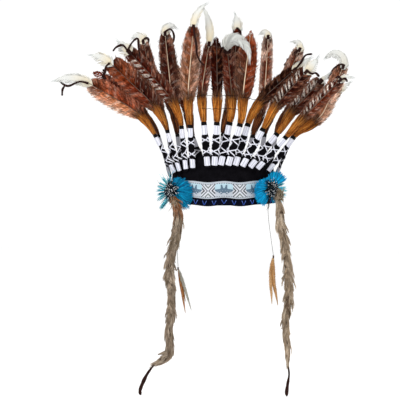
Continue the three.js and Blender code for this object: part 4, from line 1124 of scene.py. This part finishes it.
def wisps(made, quill, end, sag, rng):
    """Fine grey-white barbs that trail past the end of a plume."""
    n, t = 16, span(5)
    side = rng.uniform(-1, 1, n)[:, None]
    at = end - 7 + t * rng.uniform(8, 15, n)[:, None]
    paths, through = quill.beside(at, side * (1.2 + 0.9 * t), side * 0.4)
    paths = hung(paths, (at - quill.vane_end) / (end - quill.vane_end), sag)
    made.rods(paths, np.linspace(0.8, 0.15, 5), 0.35, through, 1, tints(rng, [0xDCE0DE, 0xC9CDCB], n, 0.05))


def shaft(made, quill, white, pale):
    """The shaft, pale where it stands proud of the vane and thinner towards the tip."""
    share = np.linspace(0, 1, 40)
    at = np.linspace(SLEEVE_LENGTH + 1, quill.vane_end + (2 if white else 6), 40)
    place, _, through = quill.at(at)
    size = np.interp(share, [0, 0.3, 0.7, 1], [2.6, 2.1, 1.4, 0.7]) * (0.6 + 0.4 * pale)
    horn = linear(0x3A1A10) + (linear(0xD8BC9E) - linear(0x3A1A10)) * pale
    horn = horn * np.interp(share, [0, 0.75, 1], [1, 0.95, 0.6])[:, None]
    made.rods((place + through * 0.45)[None], size, size * 0.85, through[None], 2, horn[None],
              laid(0, at)[None], 6)


def fluff(made, quill, rng, behind):
    """Ginger hackles bound round the foot of the vane: a slim core and long silky barbs over it."""
    ginger, tips = [0xC0722A, 0xA8611F, 0x8F4E1B, 0xCD8A3E, 0x5E3010], [0x6E4428, 0x4A2A1A, 0x8A5E38]
    # Behind the crown the ginger barbs and tips are painted dark brown: painted shade
    if behind:
        ginger, tips = [0x4A2413, 0x3A1A10, 0x6E3C1A, 0x2A120B, 0x8A4F20], [0x4A2A1C, 0x30160E, 0x5E3A28]
    stops = (SLEEVE_LENGTH + np.array([0, 9, 22, 36, 53]), [4.9, 5.8, 6.9, 7.8, 8.2], [2.5, 2.8, 3, 2.9, 2.3])
    at = np.linspace(SLEEVE_LENGTH - 0.3, quill.fluff_end + 2, 16)
    place, _, through = quill.at(at)
    shut = np.array([1] * 13 + [0.8, 0.55, 0.25])
    wide, deep = (2 * 0.86 * shut * np.interp(at, stops[0], sizes) for sizes in stops[1:])
    # The core too is painted darker behind the crown: painted shade
    made.rods(place[None], wide, deep, through[None], 4, linear(0x30170D if behind else 0x94561F),
              laid(0, at)[None], 12)
    n = 150
    angle = rng.uniform(0, 2 * math.pi, n)[:, None]
    start = SLEEVE_LENGTH + rng.uniform(-1.0, 16, n)[:, None]
    reach = rng.uniform(20, 38, n)[:, None]
    t = span(5)
    at = np.minimum(start + reach * t, quill.fluff_end + 14)
    wide, deep = (np.interp(at, stops[0], sizes) for sizes in stops[1:])
    loose = 1 + 0.1 * rng.standard_normal((n, 1)) * t**2
    angle = angle + 0.12 * rng.standard_normal((n, 1)) * t
    _, across, through = quill.at(at)
    paths, _ = quill.beside(at, wide * loose * np.sin(angle), deep * loose * np.cos(angle))
    outward = across * np.sin(angle)[..., None] + through * np.cos(angle)[..., None]
    ends = tints(rng, tips, n)[:, None]
    tint = mixed(np.broadcast_to(tints(rng, ginger, n)[:, None], (n, 5, 3)), ends,
                 np.interp(at - SLEEVE_LENGTH, [31, 47], [0, 1]))
    # Barbs at the bundle's sides are painted darker: painted shade
    tint = tint * (0.62 + 0.38 * np.abs(np.cos(angle)))[..., None]
    made.rods(paths, [0.9, 1.35, 1.4, 1.1, 0.2], 0.5, outward, 4, tint, laid(0, at, apart(n, 3)))
    # Down at the foot of the vane, in front and behind
    n, t = 60, span(4)
    side = rng.uniform(-1, 1, n)[:, None]
    at = quill.fluff_end - 6 + rng.uniform(-4, 5, n)[:, None] + rng.uniform(10, 22, n)[:, None] * t
    face = np.where(rng.random((n, 1)) < 0.7, 1, -1) * (1.1 + 0.8 * t)
    out = side * (3.5 + (0.75 * quill.wide - 3.5) * t) + 0.6 * np.sin(5 * t + side * 9)
    paths, through = quill.beside(at, out, face)
    down = tints(rng, [0x5A3A2A, 0x8A6A58, 0x3F2016, 0x2A120C, 0x6E4630], n)
    made.rods(paths, [0.5, 0.8, 0.6, 0.12], 0.3, through, 4, down)


quills = {}
for group, rows in FEATHERS.items():
    for i, row in enumerate(rows):
        tag = f"{group}_{i + 1}"
        rng = np.random.default_rng(100 + len(quills))
        quills[tag] = Quill(row)
        sleeve(tag, quills[tag], rng)
        feather(tag, quills[tag], rng)
lacing([quills[f"front_{i + 1}"] for i in range(len(FEATHERS["front"]))])


def spacing_threads():
    """Thin dark threads sewn through the front feathers, which keep them apart."""
    made = Made()
    for feathers, along in ((range(4, 10), 117.0), (range(5, 9), 96.0)):
        stops = []
        for i in feathers:
            place, _, through = quills[f"front_{i}"].at(np.array(along))
            stops.append(place + through * 3.4)
        line = smooth_line(stops, 60)
        line[:, 2] += 0.6 * np.sin(np.arange(60) * 0.7)
        made.rods(line[None], 0.85, 0.85, (0, -1, 0), 0, linear(0x1A1012), sides=5)
    made.piece("spacing_threads", [THREAD_FINISH], None, "thread")


spacing_threads()

# Rosettes, tufts, tails
FAN_BLUES = [0x14A2D2, 0x0F93C2, 0x12ACDC, 0x0E84B4]


class Fan:
    """The middle of a rosette, with places at angles round it."""

    def __init__(self, side):
        middle, self.ahead, self.rightward = rosette_frame(side)
        self.centre = middle + self.ahead * ROSETTE_STANDOFF

    def way(self, angle):
        """The way out from the middle at an angle from its right."""
        return self.rightward * np.cos(angle)[..., None] + [0, 0, 1.0] * np.sin(angle)[..., None]

    def at(self, angle, reach, lift):
        """Points at an angle, out from the middle and lifted towards the front."""
        return self.centre + self.way(angle) * reach[..., None] + self.ahead * lift[..., None]


def rosette_strips(made, fan, side, rng):
    """Each strip of the fan: barbs that start together and spread to a ragged end."""
    for i, (turn, reach, wide) in enumerate(STRIPS[side]):
        turn = np.radians(turn)
        depth = (1 if i % 2 else -1) * STRIP_LAYER / 2
        n, t = 16 + int(28 * wide), span(5)
        long = reach * ROSETTE_RADIUS
        start, end = rng.uniform(-1, 1, n)[:, None], rng.uniform(-1, 1, n)[:, None]
        length = long * (0.55 + 0.47 * rng.random((n, 1)) ** 0.6)
        at = 4 + (length - 4) * t
        half = np.interp(at, [5, 5 + (long - 5) * 0.7, long], np.array([0.2, 0.5, 0.42]) * HUB_RADIUS * wide)
        spread = np.where(rng.random((n, 1)) < 0.12, 1.35, 1.0)
        sideways = (start * 0.35 * (1 - t) + end * t**0.8 * spread) * half
        sideways = sideways + 0.5 * np.sin(at / 6 + start * 9) * t
        back = depth * (0.6 + 1.4 * t) + 1.1 * rng.standard_normal((n, 1)) * (0.4 + 0.6 * t)
        paths = fan.at(turn, at, -back) + fan.way(turn + math.pi / 2) * sideways[..., None]
        blues = FAN_BLUES if wide > 0.75 else [0x22A9C9, 0x4FBFD3, 0x9AD9DD, 0x187F93]
        ends = tints(rng, blues, n, 0.1)[:, None] * ROSETTE_BRIGHTNESS[side]
        # Each barb is painted darker towards the hub: painted shade
        made.rods(paths, [1.1, 1.55, 1.5, 1.2, 0.25], 0.45, fan.ahead, 0,
                  mixed(ends * np.full((5, 1), 0.7), ends, t * 2.2 + start * 0),
                  laid(sideways, at, apart(n, 2)))


def rosette_filling(made, fan, side, rng):
    """Barbs that fill the way between neighbouring broad strips, so that they join into one fan."""
    rows = sorted(STRIPS[side])
    for (turn, reach, wide), (on, far, next_wide) in zip(rows, rows[1:] + rows[:1]):
        gap = (on - turn) % 360
        if min(wide, next_wide) < 0.79 or gap > 50:
            continue
        n, t = int(6.5 * gap), span(5)
        share = rng.random((n, 1))
        angle = np.radians(turn + gap * share)
        long = ROSETTE_RADIUS * (reach + (far - reach) * share)
        at = 5 + (long * rng.uniform(0.5, 1.0, (n, 1)) ** 0.6 - 5) * t
        swing = angle + 0.1 * rng.standard_normal((n, 1)) * t
        back = 0.4 + 0.9 * t + 0.9 * rng.standard_normal((n, 1)) * (0.3 + 0.7 * t)
        deep = [0x1B6C9C, 0x1587B5] * (2 if 10 < turn < 100 else 1)
        shade = tints(rng, FAN_BLUES[:3] + deep, n, 0.08)[:, None] * ROSETTE_BRIGHTNESS[side]
        # Each barb is painted darker towards the hub: painted shade
        made.rods(fan.at(swing, at, -back), [1.2, 1.9, 2.0, 1.7, 0.4], 0.45, fan.ahead, 0,
                  mixed(shade * np.full((5, 1), 0.72), shade, t * 2 + share * 0), laid(0.0, at, apart(n, 2)))


def rosette(side):
    rng = seeded(31, side)
    made, fan = Made(), Fan(side)
    rosette_strips(made, fan, side, rng)
    rosette_filling(made, fan, side, rng)
    # Thin stray barbs on the loose side of the fan, pale and dark
    n, t = 80, span(6)
    angle = np.radians(rng.uniform(92, 262, n) if side == "left" else rng.uniform(-68, 26, n))[:, None]
    at = 6 + (rng.uniform(18, 38, n)[:, None] - 6) * t
    swing = angle + 0.22 * rng.standard_normal((n, 1)) * t**2
    back = 0.5 + 2.2 * rng.standard_normal((n, 1)) * t
    tone = tints(rng, [0x1CA6C8, 0x5FC6D6, 0xA6DDDF, 0x16809A, 0x1D4A55], n, 0.1)
    made.rods(fan.at(swing, at, -back), [0.6, 0.9, 1.0, 0.9, 0.7, 0.2], 0.4, fan.ahead, 0, tone,
              laid(0.0, at, apart(n, 2)))
    # The hub that the feathers are sewn to, domed at the front and set on the band behind
    depth = np.linspace(HUB_THICK - 0.2, -ROSETTE_STANDOFF + 2.2, 9)
    size = 2 * HUB_RADIUS * np.array([0.35, 0.7, 0.85, 0.85, 0.8, 0.8, 0.8, 0.8, 0.75])
    made.rods((fan.centre + fan.ahead * depth[:, None])[None], size, size, (0, 0, 1), 1, BLACK, sides=20)
    made.piece("turquoise_rosette_" + side, [TURQUOISE, FELT_CLOTH], "rosette_" + side, "turquoise_feather")
    tuft(fan, side, rng)


def tuft(fan, side, rng):
    """Three rings of short spotted feathers in the middle of a rosette, with loose dotted ones over them."""
    made = Made()
    front = HUB_THICK + GAP
    for ring, (count, reach, lift) in enumerate(((9, 11, 0.9), (7, 8, 2.2), (5, 5, 3.4))):
        for i in range(count):
            turn = (i + 0.5 * ring + 0.25 * rng.standard_normal()) * 2 * math.pi / count
            t = np.linspace(0, 1, 7)
            long = reach * rng.uniform(0.88, 1.04)
            path = fan.at(turn + t * 0, 0.5 + long * t, front + lift + 0.9 * np.sin(np.pi * t) - 0.8 * t)
            width = reach * 0.62 * np.sin(np.pi * (0.12 + 0.8 * t)) ** 0.7
            width[-1] = 0.8
            made.rods(path[None], width, 0.9, fan.ahead, 0, linear(0x15181C),
                      laid(i * 7.3, t * long, ring * 5)[None], 8)
    # Loose narrow spotted feathers that stand off the tuft, each with its own row of white dots
    n, t = 150, span(13)
    turn = rng.uniform(0, 2 * math.pi, n)[:, None]
    longest = math.radians(200 if side == "right" else -25)
    long = rng.uniform(8, 20, n)[:, None] * (1 + 0.25 * np.cos(turn - longest))
    lift = front + 1 + rng.uniform(0, 5, n)[:, None] * (1 - 0.5 * t)
    swing = turn + 0.35 * rng.standard_normal((n, 1)) * t
    dotted = (np.arange(13)[None] + rng.integers(0, 5, n)[:, None]) % 5 == 0
    ground = tints(rng, [0x0C0E12, 0x14202A, 0x1D2B2E, 0x0F1318], n)[:, None]
    tint = np.where(dotted[..., None] & (rng.random((n, 1, 1)) < 0.5), linear(0xEEF2F4), ground)
    width = np.where(dotted, 1.35, 1.2) * np.interp(t, [0, 0.85, 1], [1, 1, 0.3])
    made.rods(fan.at(swing, 1 + (long - 1) * t, lift), width, 0.5, fan.ahead, 1, tint)
    if side == "right":
        # Stripped dark shafts that hang out under the fan
        n, t = 6, span(8)
        away = rng.uniform(-9, -2.5, n)[:, None] * t + 1.1 * np.sin(5 * t + np.arange(n)[:, None])
        drop = 12 + rng.uniform(18, 27, n)[:, None] * t
        paths = (fan.centre + fan.rightward * (away - 3)[..., None] - drop[..., None] * [0, 0, 1]
                 + fan.ahead * 1.5)
        made.rods(paths, 0.75, 0.5, fan.ahead, 1, linear(0x2A2622))
    made.piece("spotted_tuft_" + side, [SPOTTED, VANE], "rosette_tuft_" + side, "spotted_feather")


def drawn(rows, start, long, wide):
    """A tail's or a leather end's stops from a start, in millimetres, each with its half width."""
    return [[*(start + np.array([across, -ahead, -down]) * long), half * wide]
            for across, ahead, down, half in rows]


class Tail:
    """A tail's line with its half widths, and the way on, the face and the side at each of its points."""

    def __init__(self, side):
        middle, self.ahead, self.rightward = rosette_frame(side)
        _, _, sign, across, down = ROSETTES[side]
        rows = TAIL_LINES[side]
        out = STRIP_LAYER + STRIP_THICK / 2 + GAP + TAIL_THICK * rows[0][3]
        start = (middle + self.ahead * (ROSETTE_STANDOFF + out)
                 + [across, across * math.tan(ROSETTE_FACING * sign), -down])
        self.stops = drawn(rows, start, TAIL_LENGTH, TAIL_WIDTH)
        self.line = smooth_line(self.stops, TAIL_POINTS)
        self.middle, self.half = self.line[:, :3], self.line[:, 3]
        self.last = TAIL_POINTS - 1
        self.length = distance(self.middle)[-1]
        self.step = self.length / self.last
        self.heading = unit(np.gradient(self.middle, axis=0))
        self.face = unit(self.ahead - (self.heading @ self.ahead)[:, None] * self.heading)
        self.beside = np.cross(self.face, self.heading)

    def sample(self, values, where):
        """What one of the lists above holds between its points."""
        return np.stack([np.interp(where, np.arange(TAIL_POINTS), column) for column in values.T], -1)


def guard_hairs(made, tail, side, browns, rng):
    """Guard hairs in locks: each lock's hairs start apart on the skin and draw together at its tip."""
    flat, skin, each = TAIL_THICK / TAIL_WIDTH, 0.62, (TAIL_LOCKS, LOCK_HAIRS)
    at = np.sort(rng.uniform(0, 0.985, TAIL_LOCKS)) * tail.last
    angle = rng.uniform(0, 2 * math.pi, TAIL_LOCKS)
    spin = 0.35 * rng.standard_normal(TAIL_LOCKS)
    reach = rng.uniform(14, 26, TAIL_LOCKS) * np.interp(at, [0, 12, 120, 139], [0.9, 1, 0.95, 0.7])
    rise = np.where(rng.random(TAIL_LOCKS) < 0.12, rng.uniform(1.2, 1.6, TAIL_LOCKS),
                    rng.uniform(0.86, 1.1, TAIL_LOCKS))
    root_at = np.clip(at[:, None] + rng.uniform(-1.6, 1.6, each) / tail.step, 0, tail.last)
    root_angle = angle[:, None] + 0.42 * rng.standard_normal(each)
    tip_at = at[:, None] + (reach[:, None] * rng.uniform(0.75, 1.06, each)) / tail.step
    tip_angle = angle[:, None] + spin[:, None] + 0.16 * rng.standard_normal(each)
    t = span(4)[None]
    where = root_at[..., None] + (tip_at - root_at)[..., None] * t
    turned = root_angle[..., None] + (tip_angle - root_angle)[..., None] * t**0.8
    past = np.maximum(where - tail.last, 0) * tail.step
    place, on, beside, face, half = (tail.sample(values, np.minimum(where, tail.last)) for values in (
        tail.middle, tail.heading, tail.beside, tail.face, tail.line[:, 3:]))
    radius = half[..., 0] * (skin + (rise[:, None, None] - skin) * t**0.75)
    radius = radius * np.interp(where, [tail.last, tail.last + 11], [1, 0.3])
    paths = (place + on * past[..., None] + beside * (radius * np.sin(turned))[..., None]
             + face * (radius * flat * np.cos(turned))[..., None])
    outward = beside * np.sin(turned)[..., None] + face * np.cos(turned)[..., None]
    lock_tint = np.repeat(tints(rng, browns, TAIL_LOCKS, 0.06), LOCK_HAIRS, axis=0)
    if side == "left":
        warm = np.clip(1.2 - np.repeat(at, LOCK_HAIRS) / 12, 0, 0.75)[:, None]
        lock_tint = mixed(lock_tint, linear(0x9A6440), warm[:, 0])
    n = TAIL_LOCKS * LOCK_HAIRS
    ends = lock_tint * (1 + 0.16 * rng.standard_normal((n, 1))).clip(0.5, 1.5)
    # Each hair is painted darker towards the skin and lighter at its tip: painted shade
    shade = ends[:, None] * np.array([0.74, 0.92, 1.03, 1.1])[:, None]
    made.rods(paths.reshape(n, 4, 3), [0.95, 0.9, 0.65, 0.14], 0.5, outward.reshape(n, 4, 3), 0, shade,
              laid(0.0, 14 * span(4), apart(n, 1.7)))


def tangle(made, tail, side, browns, rng):
    """A tangle of loose hair where the tail is tied under the hub."""
    left = side == "left"
    n, low, high, short, long, aside = (400, -5, 13, 8, 24, 0) if left else (360, -9, 5, 4, 13, 7)
    t, spread = span(5), 8
    turn, way = rng.uniform(0, 2 * math.pi, (2, n, 1))
    down = rng.uniform(low, high, (n, 1))
    core = aside * np.interp(down, [-9, 5], [1, 0.2]) + spread * 0.6 * rng.uniform(-1, 1, (n, 1))
    run = rng.uniform(short, long, (n, 1))
    drift = np.where(rng.random((n, 1)) < (0.8 if left else 0.6), 0.3, 0.8) * np.sin(way)
    fall = down + run * t * np.maximum(np.abs(np.cos(way)), 0.4) * (1 if left else np.cos(way))
    paths = tail.sample(tail.middle, fall / tail.step)
    paths[..., 2] -= np.minimum(fall, 0)
    sideways = core + run * drift * t + 1.2 * np.sin(5 * t + turn * 3) * t
    paths = (paths + tail.rightward * sideways[..., None]
             + tail.ahead * (1.5 + 3 * np.cos(turn) + 1.5 * np.sin(3 * t + turn))[..., None])
    others = [0x7A7258, 0x8A7E6C, 0x5E5440]
    if left:
        others = [0x9A6440, 0xA8683C, 0x8A5030, 0x4A3A2E, 0x6E6A4E]
    # Each hair is painted darker towards its root and lighter at its tip: painted shade
    tone = tints(rng, browns + others * 2, n)[:, None] * np.interp(t, [0, 0.5, 1], [0.6, 0.9, 1.1])[..., None]
    made.rods(paths, [0.8, 1.1, 1.0, 0.7, 0.14], 0.45, tail.ahead, 0, tone)


def side_lock(made, tail, browns, rng):
    """One long lock that stands out to the side at the bend near the left tail's end."""
    n, t = 90, span(6)
    bend, beside, on = (values[TAIL_BEND] for values in (tail.middle, tail.beside, tail.heading))
    root = bend + rng.uniform(-5, 5, (n, 1)) * beside + rng.uniform(-4, 3, (n, 1)) * on
    way = unit(np.array([-1, 0, -0.22])) * rng.uniform(13, 20, (n, 1))
    paths = root[:, None] + way[:, None] * t[..., None] + (bend - root)[:, None] * (0.85 * t[..., None])
    # Each hair is painted darker towards its root and lighter at its tip: painted shade
    tone = tints(rng, browns, n)[:, None] * np.interp(t, [0, 1], [0.75, 1.1])[..., None]
    made.rods(paths, [0.7, 0.8, 0.8, 0.7, 0.5, 0.12], 0.45, tail.ahead, 0, tone)


def fur_tail(side):
    rng = seeded(41, side)
    made, tail = Made(), Tail(side)
    core = tail.half * np.interp(np.arange(TAIL_POINTS), [0, 4, 130, 139], [0.3, 0.66, 0.6, 0.3])
    made.rods(tail.middle[None], core * 2, core * 2 * TAIL_THICK / TAIL_WIDTH, tail.face[None], 0,
              linear(0x5A4A3C), laid(0, span(TAIL_POINTS, 0, tail.length)), 14)
    browns = [0x9C8A78, 0x8F7E6D, 0xA89886, 0x82725F, 0x968471, 0xB2A28F]
    if side == "right":
        browns = [0xA8957F, 0x9B8873, 0xB4A28E, 0x8D7B66, 0xA28F7A, 0xBEAD98]
    guard_hairs(made, tail, side, browns, rng)
    tangle(made, tail, side, browns, rng)
    if side == "left":
        side_lock(made, tail, browns, rng)
    made.piece("long_fur_tail_" + side, [FUR], "fur_tail_" + side, "fur")
    leather_end(tail, side)


def leather_end(tail, side):
    """The leather goes on from the fur in the way that the tail points."""
    ends = np.array([stop[:3] for stop in tail.stops[-2:]])
    foot = ends[1] + unit(ends[1] - ends[0]) * GAP * 2
    strap = smooth_line(drawn(THONG_LINES[side], foot, THONG_LENGTH, THONG_WIDTH), 34)
    t = np.linspace(0, 1, len(strap))
    closing = np.interp(t, [0, 0.04, 0.94, 1], [0.6, 1, 1, 0.35])
    wide = strap[:, 3] * 2.5 * (1 + 0.07 * np.sin(t * 23 + 2)) * closing
    made = Made()
    made.rods(strap[None, :, :3], wide, THONG_THICK * closing, (0, -1, 0), 0, BLACK,
              laid(0, t * THONG_LENGTH)[None], 10)
    made.piece("leather_end_" + side, [LEATHER], "tail_thong_" + side, "leather")


for side in ("left", "right"):
    rosette(side)
    fur_tail(side)

# A pale floor just below the tails, a white room and two soft lights


def stage_and_light():
    floor_mesh = bpy.data.meshes.new("floor")
    reach, level = 9, cad_box[0][2] - 0.012
    corners = [(x * reach, y * reach, level) for x, y in ((-1, -1), (1, -1), (1, 1), (-1, 1))]
    floor_mesh.from_pydata(corners, [], [(0, 1, 2, 3)])
    floor = bpy.data.objects.new("floor", floor_mesh)
    bpy.context.scene.collection.objects.link(floor)
    # Matt white paper, rolled out under the object
    material, _, shader = begin("matt_paper", Roughness=1.0)
    shader.inputs["Base Color"].default_value = paint(0xFAFAFA)
    floor_mesh.materials.append(material)
    world = bpy.data.worlds.new("white_room")
    world.use_nodes = True
    sky = world.node_tree.nodes["Background"]
    sky.inputs["Color"].default_value = (1, 1, 1, 1)
    sky.inputs["Strength"].default_value = 1.05
    bpy.context.scene.world = world
    for name, place, aim, size, power in (
        ("key_light", (-1.1, -1.9, 1.5), (0, 0, 0.05), 1.2, 24),
        ("rim_light", (1.3, 1.2, 1.1), (0, 0, 0.1), 1.0, 10),
    ):
        light = bpy.data.lights.new(name, "AREA")
        light.size, light.energy = size, power
        lamp = bpy.data.objects.new(name, light)
        bpy.context.scene.collection.objects.link(lamp)
        lamp.location = place
        way = np.array(aim) - np.array(place)
        lamp.rotation_euler = (math.atan2(math.hypot(way[0], way[1]), -way[2]), 0,
                               math.atan2(way[1], way[0]) - math.pi / 2)
    bpy.context.scene.view_settings.view_transform = "Standard"


stage_and_light()
